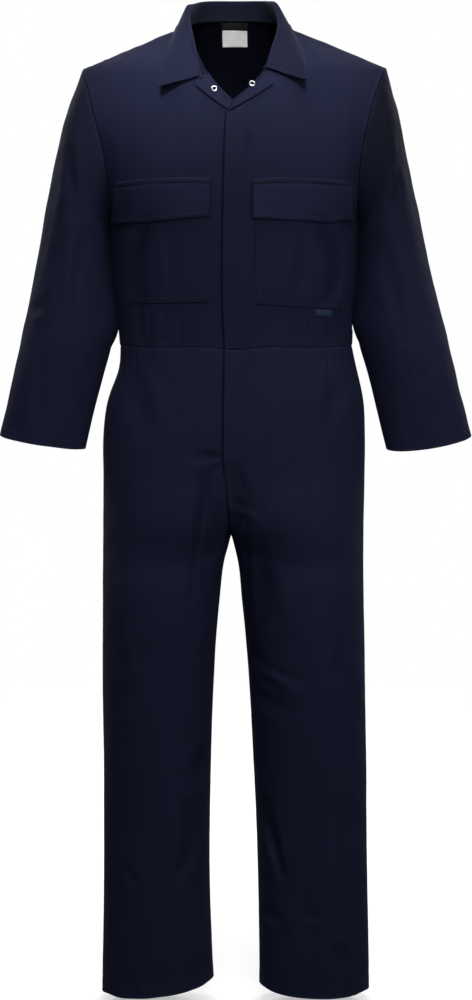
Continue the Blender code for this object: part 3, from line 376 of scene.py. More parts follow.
def sleeve_grid(side, hole):
    """Sleeve surface from the armhole points: underarm, front, tip, back."""
    run = chord(hole[:, 1:])
    tip = int(np.argmax(hole[:, 2]))
    turn = np.concatenate([run[:tip + 1] / run[tip], 1 + (run[tip + 1:] - run[tip]) / (run[-1] - run[tip])])
    ang = np.pi * turn
    rings = [hole]
    for zi, zo, y, front, back in zip(*(SLEEVE[q] for q in "zi zo y front back".split())):
        inner = np.array([width(SLEEVE_IN, side, zi)[0] * SIGN[side], y, zi])
        outer = np.array([width(SLEEVE_OUT, side, zo)[0] * SIGN[side], y, zo])
        mid, arm = (inner + outer) / 2, (inner - outer) / 2
        depth = np.where(np.sin(ang) > 0, front, back)
        out = (-np.sin(ang) * depth)[:, None] * np.array([0, 1, 0])
        rings.append(mid + np.cos(ang)[:, None] * arm + out)
    rings = np.array(rings)
    run = chord(rings.mean(axis=1))
    at = stations(run[-1], STEP)
    g = smooth(run, rings.reshape(len(rings), -1), at).reshape(len(at), len(hole), 3)
    g[..., 0] -= SIGN[side] * close_up(side, g[..., 2], True) * np.clip(np.cos(ang), 0, 1)[None]**6
    low = np.clip((at - at[-1] + 80) / 80, 0, 1)[:, None]**2
    g[..., 2] -= CUFF_SAG[side] * low * np.clip(np.sin(ang), 0, 1)[None]
    return g


def grid_normals(g):
    """Normals by rows and columns; their side is chosen by the caller."""
    du, dv = np.gradient(g, axis=1), np.gradient(g, axis=0)
    return unit(np.cross(du, dv))


def relax(g, turns):
    """Even out bumps along the normal, edges kept."""
    for _ in range(turns):
        n = grid_normals(g)
        pull = 0.25 * (g[:-2, 1:-1] + g[2:, 1:-1] + g[1:-1, :-2] + g[1:-1, 2:]) - g[1:-1, 1:-1]
        n = n[1:-1, 1:-1]
        g[1:-1, 1:-1] += 0.5 * (pull * n).sum(axis=-1, keepdims=True) * n
    return g


def cloth_runs(g):
    """Distance of every grid point along the cloth from the first column and the first row."""
    across, down = np.zeros((2,) + g.shape[:2])
    across[:, 1:] = np.cumsum(np.linalg.norm(np.diff(g, axis=1), axis=2), axis=1)
    down[1:] = np.cumsum(np.linalg.norm(np.diff(g, axis=0), axis=2), axis=0)
    return across, down


# ---------------------------------------------------------------- creases of the cloth
def fold_push(g, n, sleeve):
    """Inward distance that the folds press every grid point."""
    xz = g[..., [0, 2]]
    push = np.zeros(g.shape[:2])
    for k in range(len(FOLDS["face"])):
        face = FOLDS["face"][k]
        if (abs(face) == 2) != sleeve:
            continue
        p = [np.array([FOLDS["x%d" % q][k], FOLDS["z%d" % q][k]]) for q in range(3)]
        handle = 2 * p[1] - 0.5 * (p[0] + p[2])
        t = np.linspace(0, 1, 41)[:, None]
        line = (1 - t)**2 * p[0] + 2 * (1 - t) * t * handle + t**2 * p[2]
        wide, deep = FOLDS["wide"][k], FOLDS["deep"][k]
        reach = 3.2 * wide
        near = ((xz > line.min(axis=0) - reach) & (xz < line.max(axis=0) + reach)).all(axis=-1)
        facing = np.clip(np.sign(face) * n[..., 1] * 2.5 - 0.5, 0, 1)
        near &= facing > 0
        if not near.any():
            continue
        at = xz[near]
        gap = at[:, None] - line[None]
        dist = np.linalg.norm(gap, axis=-1)
        best = dist.argmin(axis=1)
        d, s = dist[np.arange(len(at)), best], best / 40.0
        way = unit(np.gradient(line, axis=0))[best]
        rel = at - line[best]
        side = np.sign(way[:, 0] * rel[:, 1] - way[:, 1] * rel[:, 0])
        w = wide * (0.8 + 0.35 * np.sin(2.3 * s + k))
        taper = np.sin(np.pi * (0.10 + 0.80 * s))**0.8
        swell = 1 + 0.18 * np.sin(7.0 * s + 1.7 * k)
        shoulder = 0.34 * (1 + 0.5 * side * np.sin(2.0 * k)) * bell(d / w - 1.75, 0.75)
        push[near] += deep * taper * swell * (bell(d, w) - shoulder) * facing[near]
    return push


WAVES = np.random.RandomState(11)
WAVE_WAYS = WAVES.normal(size=(9, 3)) * (1.0, 1.0, 0.38)
WAVE_TURN = WAVES.uniform(0, 2 * np.pi, 9)
WAVE_LONG = np.array([62, 74, 88, 51, 45, 120, 150, 38, 66])


def undulation(p):
    """Slow uneven swell of hanging cloth, a smooth function of the place, about -1 to 1."""
    ways = unit(WAVE_WAYS) * (2 * np.pi / WAVE_LONG)[:, None]
    warp = 14.0 * np.sin(p @ np.array([0.021, -0.017, 0.011]) + 0.7)[..., None]
    return np.sin((p + warp) @ ways.T + WAVE_TURN).sum(axis=-1) / 4.2


def streaks(p, kind):
    """Long hanging lines that follow the fall of the cloth, about -1 to 1."""
    x, z = p[..., 0], p[..., 2]
    if kind == "sleeve":
        x = np.abs(x) + 0.235 * z
    x = x + 0.4 * p[..., 1]
    out = 0.5 * np.sin(x / 2.9 + 1.6 * np.sin(z / 83.0 + x / 61.0))
    out = out + 0.8 * np.sin(x / 5.3 + 2.2 * np.sin(z / 140.0))
    out = out + 0.9 * np.sin(x / 9.1 + 1.8 * np.sin(z / 190.0 + 2.0))
    return out * (0.55 + 0.45 * np.sin(z / 71.0 + x / 37.0)) * 0.6


# ---------------------------------------------------------------- meshes
def place_keys(points):
    return np.round(points / 0.01 + 0.137).astype(np.int64)


class Cloth:
    """A cut piece: one or more grids of outer points, and which way each faces."""

    def __init__(self, name, grids, axis):
        self.name, self.grids = name, [np.array(g) for g in grids]
        self.runs = [cloth_runs(g) for g in self.grids]
        self.signs = [1.0 if ((g - axis(g)) * grid_normals(g)).sum() > 0 else -1.0 for g in self.grids]

    def normals(self):
        return [grid_normals(g) * s for g, s in zip(self.grids, self.signs)]

    def weld(self):
        """Number equal places once, and make the quads."""
        flat = np.concatenate([g.reshape(-1, 3) for g in self.grids])
        _, self.first, back = np.unique(place_keys(flat), axis=0, return_index=True, return_inverse=True)
        back = back.ravel()
        self.points = flat[self.first]
        corners, at = [], 0
        for g, sign in zip(self.grids, self.signs):
            idx = np.arange(g.shape[0] * g.shape[1]).reshape(g.shape[:2]) + at
            q = np.stack([idx[:-1, :-1], idx[:-1, 1:], idx[1:, 1:], idx[1:, :-1]], axis=-1).reshape(-1, 4)
            corners.append(q if sign > 0 else q[:, ::-1])
            at += g.shape[0] * g.shape[1]
        self.corners = np.concatenate(corners)
        self.quads = back[self.corners]
        sorted_quads = np.sort(self.quads, axis=1)
        whole = (sorted_quads[:, 1:] != sorted_quads[:, :-1]).all(axis=1)        # no corner twice
        self.corners, self.quads = self.corners[whole], self.quads[whole]

    def rim(self):
        """Boundary edges in the order of their faces."""
        q, size = self.quads, len(self.points)
        e = np.concatenate([q[:, [k, (k + 1) % 4]] for k in range(4)])
        return e[~np.isin(e[:, 0] * size + e[:, 1], e[:, 1] * size + e[:, 0])]


def joined(pieces, values):
    """Mean of grid values over every place that pieces and grids share."""
    places = np.concatenate([g.reshape(-1, 3) for c in pieces for g in c.grids])
    flat = np.concatenate([np.reshape(v, (-1,) + v.shape[2:]) for vs in values for v in vs])
    _, back, count = np.unique(place_keys(places), axis=0, return_inverse=True, return_counts=True)
    back = back.ravel()
    total = np.zeros((len(count),) + flat.shape[1:])
    np.add.at(total, back, flat)
    mean = (total.T / count).T[back]
    out, at = [], 0
    for vs in values:
        row = []
        for v in vs:
            size = v.shape[0] * v.shape[1]
            row.append(mean[at:at + size].reshape(v.shape))
            at += size
        out.append(row)
    return out


def shared_normals(pieces):
    """Normals of every grid point, the same wherever pieces meet."""
    return [[unit(n) for n in ns] for ns in joined(pieces, [c.normals() for c in pieces])]


def flat_points(piece, values):
    """Grid values as one row for each welded point."""
    return np.concatenate([np.reshape(v, (-1,) + v.shape[2:]) for v in values])[piece.first]


def make(name, points, faces, coords=None, material=None):
    """A smooth-shaded mesh object in metres; coords are loop coordinates in metres of cloth."""
    mesh = bpy.data.meshes.new(name)
    points = np.asarray(points, float) * MM
    faces = np.asarray(faces)
    mesh.vertices.add(len(points))
    mesh.vertices.foreach_set("co", points.ravel())
    mesh.loops.add(faces.size)
    mesh.loops.foreach_set("vertex_index", faces.ravel().astype(np.int32))
    mesh.polygons.add(len(faces))
    mesh.polygons.foreach_set("loop_start", (np.arange(len(faces)) * faces.shape[1]).astype(np.int32))
    mesh.update(calc_edges=True)
    if coords is not None:
        layer = mesh.uv_layers.new(name="weave")
        layer.data.foreach_set("uv", np.asarray(coords, float).ravel())
    mesh.polygons.foreach_set("use_smooth", np.ones(len(mesh.polygons), bool))
    obj = bpy.data.objects.new(name, mesh)
    bpy.context.scene.collection.objects.link(obj)
    if material:
        mesh.materials.append(material)
    return obj


def walls(piece, normals, wall, material, wear=None, inside=None):
    """Closed shell: the outer points, and inner ones a wall behind them."""
    piece.weld()
    outer, n = piece.points, flat_points(piece, normals)
    depth = flat_points(piece, wall)[:, None] if isinstance(wall, list) else wall
    inner = outer - n * depth
    count = len(outer)
    rim = piece.rim()
    side = np.stack([rim[:, 1], rim[:, 0], rim[:, 0] + count, rim[:, 1] + count], axis=1)
    faces = np.concatenate([piece.quads, piece.quads[:, ::-1] + count, side])
    flat = np.concatenate([np.stack([a, d], axis=-1).reshape(-1, 2) for a, d in piece.runs]) * MM
    edge = flat[piece.first][side % count] + np.array([[0, 0], [0, 0], [.001, .001], [.001, .001]])
    uv = np.concatenate([flat[piece.corners], flat[piece.corners][:, ::-1], edge])
    piece.outer_normals, piece.inner = n, inner
    obj = make(piece.name, np.vstack([outer, inner]), faces, uv, material)
    # the point attribute holds wear and painted highlights above 0 and painted shade below 0; the inner
    # faces get half
    if wear is not None:
        rubbed_and_shaded = flat_points(piece, wear)
        layer = obj.data.attributes.new("wear", "FLOAT", "POINT")
        layer.data.foreach_set("value", np.concatenate([rubbed_and_shaded, rubbed_and_shaded * 0.5]))
    if inside:
        obj.data.materials.append(inside)
        count = len(piece.quads)
        index = np.zeros(len(faces), np.int32)
        index[count:2 * count] = 1
        obj.data.polygons.foreach_set("material_index", index)
    return obj


class Skin:
    """The outer (or inner) surface of some pieces, asked for points and smooth normals."""

    def __init__(self, pieces, inner=False):
        self.inner, self.from_y = inner, 0.0 if inner else -400.0
        pts, quads, nrm, at = [], [], [], 0
        # painted fold shade of every point, read by the pieces laid over the cloth
        self.tone = np.concatenate([getattr(c, "tone", np.zeros(len(c.points))) for c in pieces])
        for c in pieces:
            pts.append(c.inner if inner else c.points)
            nrm.append(-c.outer_normals if inner else c.outer_normals)
            quads.append(c.quads + at)
            at += len(c.points)
        self.points, self.quads, self.nrm = np.concatenate(pts), np.concatenate(quads), np.concatenate(nrm)
        self.tree = BVHTree.FromPolygons(self.points.tolist(), self.quads.tolist())

    def blend(self, hit, face):
        corners = self.quads[face]
        share = poly_3d_calc([Vector(self.points[c]) for c in corners], hit)
        return np.array(hit), unit((self.nrm[corners] * np.array(share)[:, None]).sum(axis=0))

    def cast(self, x, z):
        """The first point met along y at a front-view place; off the cloth, the nearest one."""
        hit, _, face, _ = self.tree.ray_cast(Vector((x, self.from_y, z)), Vector((0, 1, 0)))
        if hit is None:
            hit, _, face, _ = self.tree.find_nearest(Vector((x, -110.0, z)))
        return self.blend(hit, face)

    def near(self, p):
        hit, _, face, _ = self.tree.find_nearest(Vector(p))
        return self.blend(hit, face)

    def painted_shade_at(self, p):
        """The painted fold shade, and highlight on ridges, of the cloth below a place."""
        return self.tone[self.quads[self.tree.find_nearest(Vector(p))[2]]].mean()


# ---------------------------------------------------------------- stitches
THREAD_PITCH, THREAD_LONG, THREAD_R = 3.3, 2.5, 0.26
# Rings of one stitch: place along it, height over the cloth, share of the thread's radius
THREAD_RINGS = ((-0.5, -0.16, 0.55), (-0.30, 0.20, 1.0), (0.30, 0.20, 1.0), (0.5, -0.16, 0.55))
thread_points, thread_quads = {}, {}


def resample(points, normals, pitch):
    run = chord(points)
    at = np.arange(pitch, run[-1] - pitch * 0.6, pitch)
    p, n = sampled(points, run, at), unit(sampled(normals, run, at))
    way = unit(np.gradient(p, axis=0)) if len(p) > 1 else np.zeros((0, 3))
    return p, n, way


def stitch(group, points, normals, pitch=THREAD_PITCH, long=THREAD_LONG, radius=THREAD_R):
    """Add a row of lockstitches along a line that lies on the cloth."""
    p, n, way = resample(np.asarray(points, float), np.asarray(normals, float), pitch)
    if len(p) < 2:
        return
    side = unit(np.cross(way, n))
    rings = []
    for place, high, size in THREAD_RINGS:
        mid = p + way * place * long + n * high
        ring = [mid + side * radius * size, mid + n * radius * size * 0.8, mid - side * radius * size,
                mid - n * radius * size * 0.6]
        rings.append(np.stack(ring, axis=1))
    verts = np.stack(rings, axis=1).reshape(-1, 3)
    quads = [(k + j, k + (j + 1) % 4, k + 4 + (j + 1) % 4, k + 4 + j) for k in (0, 4, 8) for j in range(4)]
    quads = np.array(quads + [(3, 2, 1, 0), (12, 13, 14, 15)])[:, ::-1]
    at = sum(len(v) for v in thread_points.setdefault(group, []))
    starts = np.arange(len(p)) * 16 + at
    thread_points[group].append(verts)
    thread_quads.setdefault(group, []).append((starts[:, None, None] + quads[None]).reshape(-1, 4))


def edge_line(grid, normals, edge, inset, low=0.0, high=1.0):
    """A line on a grid that runs inset from one of its edges: first, last, bottom or top."""
    g, n = grid, normals
    if edge in ("bottom", "top"):
        g, n = g.transpose(1, 0, 2), n.transpose(1, 0, 2)
    if edge in ("last", "top"):
        g, n = g[:, ::-1], n[:, ::-1]
    a, b = int(round(low * (len(g) - 1))), int(round(high * (len(g) - 1))) + 1
    pts, nrm = (np.array([sampled(line, chord(row), [inset])[0] for row, line in zip(g[a:b], v[a:b])])
                for v in (g, n))
    return pts, unit(nrm)


# ---------------------------------------------------------------- body panels
HEM_STEPS = (0.0, 0.8, 2.0, 4.6, 9.0, 14.0, 19.0, 22.4, 24.0, 25.0, 26.0, 27.6, 30.5)
LEG_STEP = 4.8
HEM_STITCH, CUFF_STITCH = 25.0, 14.2         # how far in the turned edges are sewn
GATHERS, CASING = 44, (0.04, 0.96)           # puffs of the elastic back waist, and its share of the rows
CASING_MIDDLE = 17.0                         # distance of its middle from the waist seam
GATHER_HIGH, GATHER_REACH = 1.25, 24.0       # height of the puffs beside it, and how far they run on
SWELL, STREAK = 0.9, 0.5                     # height of the slow undulation and of the hanging lines
SEAM_DIP, SEAM_WIDE = 0.9, 1.7               # how far the cloth dips into a seam, and how wide
FOLD_PAINTED_SHADE = 0.060                               # painted shade: how much darker a millimetre of fold depth is painted, and ridges lighter


def build_rows():
    """Row numbers of the bodice and the leg meshes, closer together at seams and hems."""
    c, _, e, _ = bodice_ends("right", False)
    body_rows = row_numbers(c, e, (0, 1, 5, 10, 11, 14), STEP)
    c, _, e, _ = leg_ends("right", False)
    run = 0.5 * (chord(c) + chord(e))
    top = stations(run[8], LEG_STEP, EDGE_STEPS, (0.0,))
    low = stations(run[-1] - run[8], LEG_STEP, (0.0,), HEM_STEPS) + run[8]
    return body_rows, np.interp(np.concatenate([top, low[1:]]), run, np.arange(len(run)))


BODY_ROWS, LEG_ROWS = build_rows()
UNDERARM, NECK_BACK, NECK_FRONT = (int(np.argmin(np.abs(BODY_ROWS - k))) for k in (5, 11, 12))
CROTCH = int(np.argmin(np.abs(LEG_ROWS - 8)))


def body_axis(g):
    return np.stack([g[..., 0] * 0.25, g[..., 1] * 0, g[..., 2] - 60], axis=-1)


def tube_axis(g):
    line = g.mean(axis=1)
    order = np.argsort(line[:, 2])
    return np.stack([np.interp(g[..., 2], line[order, 2], line[order, k]) for k in range(3)], axis=-1)


def leg_axis(side):
    return lambda g: np.stack([np.full(g.shape[:2], SIGN[side] * 118.0), g[..., 1] * 0, g[..., 2]], axis=-1)


def below(start, length):
    """Share from 0 to 1 of a leg's rows towards the hem, as a column."""
    return np.clip((LEG_ROWS - start) / length, 0, 1)[:, None]**2


def leg_panel(side, back, waist):
    """A trouser panel under the bodice's waist row, its hem sagging between lifted corners."""
    g = relax(surface(*leg_ends(side, back), LEG_ROWS, 8), 18)
    g[0] = waist
    from_side, from_inseam = PANEL_WIDE * (1 - SHARES), PANEL_WIDE * SHARES
    if not back:
        low = below(17.5, 1.5)
        g[..., 2] -= HEM_SAG * low * np.sin(np.pi * SHARES**0.9)
        g[..., 2] += (3.3 * bell(from_side - 42, 22) + 1.6 * bell(from_inseam - 30, 16)) * low
    g[..., 0] -= SIGN[side] * 1.4 * (below(18.3, 0.7) * np.exp(-from_inseam / 8))
    return g


panel = {}
for s in SIDES:
    panel["front", s] = relax(surface(*bodice_ends(s, False), BODY_ROWS, 10, 5), 18)
    panel["back", s] = relax(surface(*bodice_ends(s, True), BODY_ROWS, 11, 5), 18)
    for k in ("front", "back"):
        panel["leg_" + k, s] = leg_panel(s, k == "back", panel[k, s][0])
    for k in ("front", "leg_front"):                     # the waist seam wavers a little across the front
        g = panel[k, s]
        x = np.abs(g[..., 0])
        waver = 3.2 * bell(x - 62, 32) - 1.6 * bell(x, 15)
        g[..., 2] += waver * bell(g[..., 2] + 512, 24)
    for k in ("front", "back"):
        g = panel[k, s]
        from_seam = np.abs(g[..., 0] - g[:, -1:, 0]) + 0.5 * np.abs(g[..., 1] - 5)
        share = close_up(s, g[..., 2], False) * bell(from_seam, 26.0)
        g[..., 0] += SIGN[s] * share * (BODY_ROWS < 5)[:, None]
    panel["sleeve", s] = sleeve_grid(s, np.vstack([panel["front", s][UNDERARM:, -1],
                                                   panel["back", s][UNDERARM:-1, -1][::-1]]))

cloths = {"front_" + s: Cloth("cloth_front_" + s, [panel["front", s]], body_axis) for s in SIDES}
cloths["back"] = Cloth("cloth_back", [panel["back", s] for s in SIDES], body_axis)
for s in SIDES:
    for k in ("leg_front", "leg_back", "sleeve"):
        axis = tube_axis if k == "sleeve" else leg_axis(s)
        cloths[k + "_" + s] = Cloth("cloth_%s_%s" % (k, s), [panel[k, s]], axis)
body = list(cloths.values())

gather_rng = np.random.RandomState(5)
gather_at = np.cumsum(gather_rng.uniform(0.62, 1.38, GATHERS + 1))
gather_at = (gather_at - gather_at[0]) / (gather_at[-1] - gather_at[0]) * 2 - 1      # -1 right seam, 1 left
gather_high = gather_rng.uniform(0.65, 1.3, GATHERS + 1)


def gather_wave(s):
    """Height 0..1 of the waist puffs at a place from -1 (right side seam) to 1 (left)."""
    k = np.interp(s, gather_at, np.arange(GATHERS + 1))
    return (0.5 - 0.5 * np.cos(2 * np.pi * k)) * np.interp(k, np.arange(GATHERS + 1), gather_high)


def raised(piece, normals):
    """Height of every grid point over the smooth panel: swell, folds, gathers, seams."""
    name = piece.name[6:]
    kind = name.split("_")[0]
    hemmed = kind in ("leg", "sleeve")
    piece.tones, out = [], []
    for g, n, (across, down), sign in zip(piece.grids, normals, piece.runs, (-1.0, 1.0)):
        from_side, from_end = across[:, -1:] - across, down[-1:] - down
        edge = np.minimum(across, from_side)
        if kind == "back":
            edge = np.where((BODY_ROWS <= 11)[:, None], from_side, edge)
        height = (SWELL * undulation(g) + STREAK * streaks(g, kind)) * (1 - 0.85 * bell(edge, 24.0))
        ends = np.minimum(down, np.clip(from_end * 0.5, 0, 60) if hemmed else from_end)
        push = fold_push(g, n, kind == "sleeve") * ramp(np.minimum(edge, ends) / 12.0)
        # painted shade in the folds' troughs and painted highlight on their ridges
        piece.tones.append(-FOLD_PAINTED_SHADE * push)
        dip = side_dip = bell(from_side, SEAM_WIDE)
        if kind != "back":
            dip = np.maximum(dip, bell(across, SEAM_WIDE))
        if kind == "front":                              # no seam along the neck opening
            dip = np.where((BODY_ROWS > 10.0)[:, None], side_dip, dip)
        dip = np.maximum(dip, bell(down, SEAM_WIDE))
        if not hemmed:
            dip = np.maximum(dip, bell(from_end, SEAM_WIDE))
        height = height - push - SEAM_DIP * dip
        if kind != "sleeve":                             # gathers of the back waist, just on to the fronts
            share = across[0] / across[0, -1]
            strong = ramp((1.0 - share) / 0.03)
            if "back" not in name:
                strong, share = ramp((share - 0.86) / 0.08) * strong, 2.0 - share
            wave = gather_wave((sign if kind == "back" else SIGN[name.split("_")[-1]]) * share) - 0.5
            from_middle = np.abs(down - CASING_MIDDLE)
            away = np.clip(down if kind == "leg" else from_middle - 13.0, 0, None)
            size = GATHER_HIGH * np.exp(-(away / GATHER_REACH)**1.3) * ramp(ends / 5.0 + (down > 40))
            height = height + (wave * strong)[None] * size * np.where(from_middle < CASING_MIDDLE, 0.5, 1.0)
        if hemmed:
            line = HEM_STITCH if kind == "leg" else CUFF_STITCH
            ripple = np.sin(across / 4.1 + 2.0 * np.sin(across / 23.0) + 0.05 * down)
            height = height - 0.45 * bell(from_end - line, 1.3)
            height = height + 0.22 * ripple * np.sin(np.pi * np.clip(from_end / line, 0, 1))
        out.append(height)
    return out


normals = shared_normals(body)
heights = joined(body, [raised(c, n) for c, n in zip(body, normals)])
for c, ns, hs in zip(body, normals, heights):
    c.grids = [g + n * h[..., None] for g, n, h in zip(c.grids, ns, hs)]
for c, ns in zip(body, shared_normals(body)):
    c.fine_normals = ns


# ---------------------------------------------------------------- materials
NAVY, NAVY_LIGHT = (0.0103, 0.0127, 0.0354), (0.0146, 0.0179, 0.0484)
THREAD_COLOUR = (0.020, 0.025, 0.052)
RIB_PITCH, YARN_PITCH = 0.85 * MM, 0.42 * MM             # of the twill's diagonal and of its crossing yarns
LABEL_PITCH, LABEL_ENDS = 0.35 * MM, 0.5 * MM            # of a woven label's rows and ends


def rgba(colour, strength=1.0):
    return (*(strength * c for c in colour), 1)


class Nodes:
    """Short hand for building one material's nodes."""

    def __init__(self, name):
        self.mat = bpy.data.materials.new(name)
        self.mat.use_nodes = True
        self.tree = self.mat.node_tree
        self.shader = self.tree.nodes["Principled BSDF"]
        self.place = self.add("ShaderNodeTexCoord").outputs["Object"]

    def add(self, kind, inputs=None, **attrs):
        node = self.tree.nodes.new(kind)
        for k, v in attrs.items():
            setattr(node, k, v)
        for k, v in (inputs or {}).items():
            self.put(node.inputs[k], v)
        return node

    def put(self, socket, value):
        if isinstance(value, bpy.types.NodeSocket):
            self.tree.links.new(value, socket)
        else:
            socket.default_value = value

    def maths(self, how, *values):
        return self.add("ShaderNodeMath", dict(enumerate(values)), operation=how).outputs[0]

    def times(self, a, b):
        return self.maths("MULTIPLY", a, b)

    def plus(self, a, b):
        return self.maths("ADD", a, b)

    def scaled(self, value, by, onto):
        return self.maths("MULTIPLY_ADD", value, by, onto)

    def waves(self, value, pitch):
        return self.maths("SINE", self.times(value, 2 * math.pi / pitch))

    def clamp(self, value):
        return self.add("ShaderNodeClamp", {0: value}).outputs[0]

    def mix(self, share, a, b):
        return self.add("ShaderNodeMix", {0: share, 6: a, 7: b}, data_type="RGBA").outputs[2]

    def noise(self, scale, detail=3.0, rough=0.5, vector=None):
        inputs = {"Scale": scale, "Vector": vector or self.place, "Detail": detail, "Roughness": rough}
        return self.add("ShaderNodeTexNoise", inputs).outputs[0]

    def weave(self):
        """The cloth's own coordinates in metres, and their two parts."""
        uv = self.add("ShaderNodeUVMap", uv_map="weave").outputs[0]
        parts = self.add("ShaderNodeSeparateXYZ", {0: uv}).outputs
        return uv, parts[0], parts[1]

    def finish(self, height=None, **inputs):
        """Set the shader's inputs, and its bump from a height in metres."""
        for name, value in inputs.items():
            self.put(self.shader.inputs[name.replace("_", " ")], value)
        if height:
            bump = self.add("ShaderNodeBump", {"Height": height, "Distance": 1.0, "Strength": 1.0})
            self.put(self.shader.inputs["Normal"], bump.outputs[0])
        return self.mat


def twill(name, dark=NAVY, light=NAVY_LIGHT, sheen=0.022, turned=False):
    """Piece-dyed cotton twill: diagonal ribs, crossing yarns, slubs, faded places and edges, painted
    highlights and painted shade.
    """
    m = Nodes(name)
    uv, u, v = m.weave()
    if turned:
        u, v = v, u
    rib = m.scaled(m.waves(m.plus(m.times(u, 0.88), m.times(v, 0.48)), RIB_PITCH), 0.5, 0.5)
    weave = m.scaled(m.waves(v, YARN_PITCH), 0.14, rib)
    slub, slub_2 = (m.noise(1.0, 2.0, vector=m.add("ShaderNodeMapping", {0: uv, 3: scale}).outputs[0])
                    for scale in ((2600.0, 60.0, 1.0), (70.0, 2300.0, 1.0)))
    cloud, fine = m.noise(9.0, 4.0, 0.55), m.noise(420.0, 2.0)
    wear = m.add("ShaderNodeAttribute", attribute_name="wear").outputs["Fac"]
    tone = m.plus(m.scaled(rib, 0.30, m.times(slub, 0.30)), m.times(slub_2, 0.16))
    tone = m.plus(m.plus(tone, m.scaled(cloud, 0.9, -0.45)), m.scaled(fine, 0.24, -0.12))
    base = m.mix(m.clamp(tone), rgba(dark), rgba(light))
    faded_and_lit = tuple(1.9 * c + 0.004 for c in light)
    # lighter where the point attribute is above 0: wear, and painted highlights on seam ridges, fold ridges
    # and flaps
    worn_and_lit = m.clamp(m.times(wear, m.scaled(fine, 1.1, 0.1)))
    colour = m.mix(m.times(worn_and_lit, 0.5), base, rgba(faded_and_lit))
    # painted shade: darker where the point attribute is below 0, in seams, folds, under edges and on shaded
    # parts
    colour = m.mix(m.clamp(m.times(wear, -1.0)), colour, rgba(dark, 0.22))
    height = m.plus(m.times(weave, 0.055 * MM), m.times(m.plus(slub, fine), 0.05 * MM))
    return m.finish(height, Base_Color=colour, Roughness=m.scaled(cloud, 0.12, 0.74),
                    Specular_IOR_Level=0.12 if sheen else 0.04, Sheen_Weight=sheen, Sheen_Roughness=0.42,
                    Sheen_Tint=(0.42, 0.52, 0.86, 1))


def thread_material(name, colour):
    m = Nodes(name)
    twist = m.noise(900.0, 2.0)
    return m.finish(m.times(twist, 0.08 * MM), Base_Color=m.mix(twist, rgba(colour, 0.6), rgba(colour, 1.3)),
                    Roughness=m.scaled(twist, 0.2, 0.45), Specular_IOR_Level=0.35)


def woven_label(name, colour):
    """Smooth woven tape or satin: fine rows across, faint mottling."""
    m = Nodes(name)
    _, u, v = m.weave()
    rows, ends = m.waves(v, LABEL_PITCH), m.waves(u, LABEL_ENDS)
    mottle = m.noise(160.0)
    tone = m.clamp(m.scaled(rows, 0.2, mottle))
    return m.finish(m.times(m.plus(rows, ends), 0.02 * MM),
                    Base_Color=m.mix(tone, rgba(colour, 0.86), rgba(colour, 1.08)),
                    Roughness=m.scaled(mottle, 0.2, 0.6), Specular_IOR_Level=0.3, Sheen_Weight=0.1)


def stud_metal(name, colour, low, high):
    """Pressed nickel: fine turned scratches and uneven polish."""
    m = Nodes(name)
    scuff = m.noise(1300.0)
    return m.finish(m.times(scuff, 0.03 * MM), Roughness=m.scaled(scuff, high - low, low), Metallic=1.0,
                    Base_Color=m.mix(m.noise(260.0, 2.0), rgba(colour, 0.82), rgba(colour)))


twill_body, twill_lower = twill("navy twill"), twill("navy twill lower")
twill_facing = twill("navy twill facing", turned=True)
# painted shade: the inner faces are the same twill made far darker and less shiny, as if in shade
twill_shaded_inside = twill("navy twill inside", rgba(NAVY, 0.12)[:3], rgba(NAVY_LIGHT, 0.18)[:3], sheen=0.0)
thread_navy = thread_material("navy thread", THREAD_COLOUR)
thread_black = thread_material("dark thread", (0.012, 0.012, 0.014))
label_white = woven_label("label satin", (0.94, 0.94, 0.95))
label_black = woven_label("label tape", (0.005, 0.005, 0.006))
tab_blue = woven_label("tab weave", (0.012, 0.030, 0.085))
nickel = stud_metal("nickel", (0.72, 0.72, 0.72), 0.16, 0.34)
socket = stud_metal("stud socket", (0.012, 0.012, 0.016), 0.45, 0.7)


def dress(obj, nodes, slot):
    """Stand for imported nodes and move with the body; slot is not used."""
    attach(obj, "root")
    if nodes:
        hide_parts(*nodes)


SLEEVE_CAP_SHADE = {"right": (0.50, 80.0), "left": (0.85, 150.0)}      # painted shade on the sleeve's cap: how dark, and how long
for key, c in cloths.items():
    kind, side = key.split("_")[0], key.split("_")[-1]
    wall, wear = [], []
    for (across, down), tone, n, g in zip(c.runs, c.tones, c.fine_normals, c.grids):
        from_side, from_end = across[:, -1:] - across, down[-1:] - down
        gap = from_side if kind == "back" else np.minimum(across, from_side)
        # lighter beside seams and at the ends: wear, and a painted highlight on the seam ridges
        rub_and_painted_light = 0.60 * bell(gap - 3.4, 1.7) + 0.45 * bell(np.minimum(down, from_end) - 3.2, 1.8)
        # painted shade along the seam lines and the waist seam
        seam = 0.85 * bell(gap, 1.1) + (0.9 if kind == "sleeve" else 0.5) * bell(down, 1.1)
        thick = CLOTH + 0 * down
        if kind in ("front", "back"):
            seam = seam + 0.8 * bell(from_end, 1.0)
        else:
            rub_and_painted_light = rub_and_painted_light + 0.9 * bell(from_end, 1.6)
            line = HEM_STITCH if kind == "leg" else CUFF_STITCH
            thick = CLOTH + HEM_EXTRA * ramp((line + 1.5 - from_end) / 2.5)
        if kind == "sleeve":                             # painted shade on the cap of the sleeve, darkest at its front
            dark, long = SLEEVE_CAP_SHADE[side]
            tone = tone - dark * bell(g[..., 2] + 135, long) * np.clip(0.6 - 0.6 * n[..., 1], 0, 1)
        wear.append(np.clip(rub_and_painted_light, 0, 1) - np.clip(seam, 0, 0.95) + tone)
        wall.append(thick)
    obj = walls(c, c.fine_normals, wall, twill_lower if kind == "leg" else twill_body, wear, twill_shaded_inside)
    # painted fold shade of each point, for the pieces laid over it
    c.tone = flat_points(c, c.tones)
    dress(obj, [key], "cloth_lower" if kind == "leg" else "cloth")


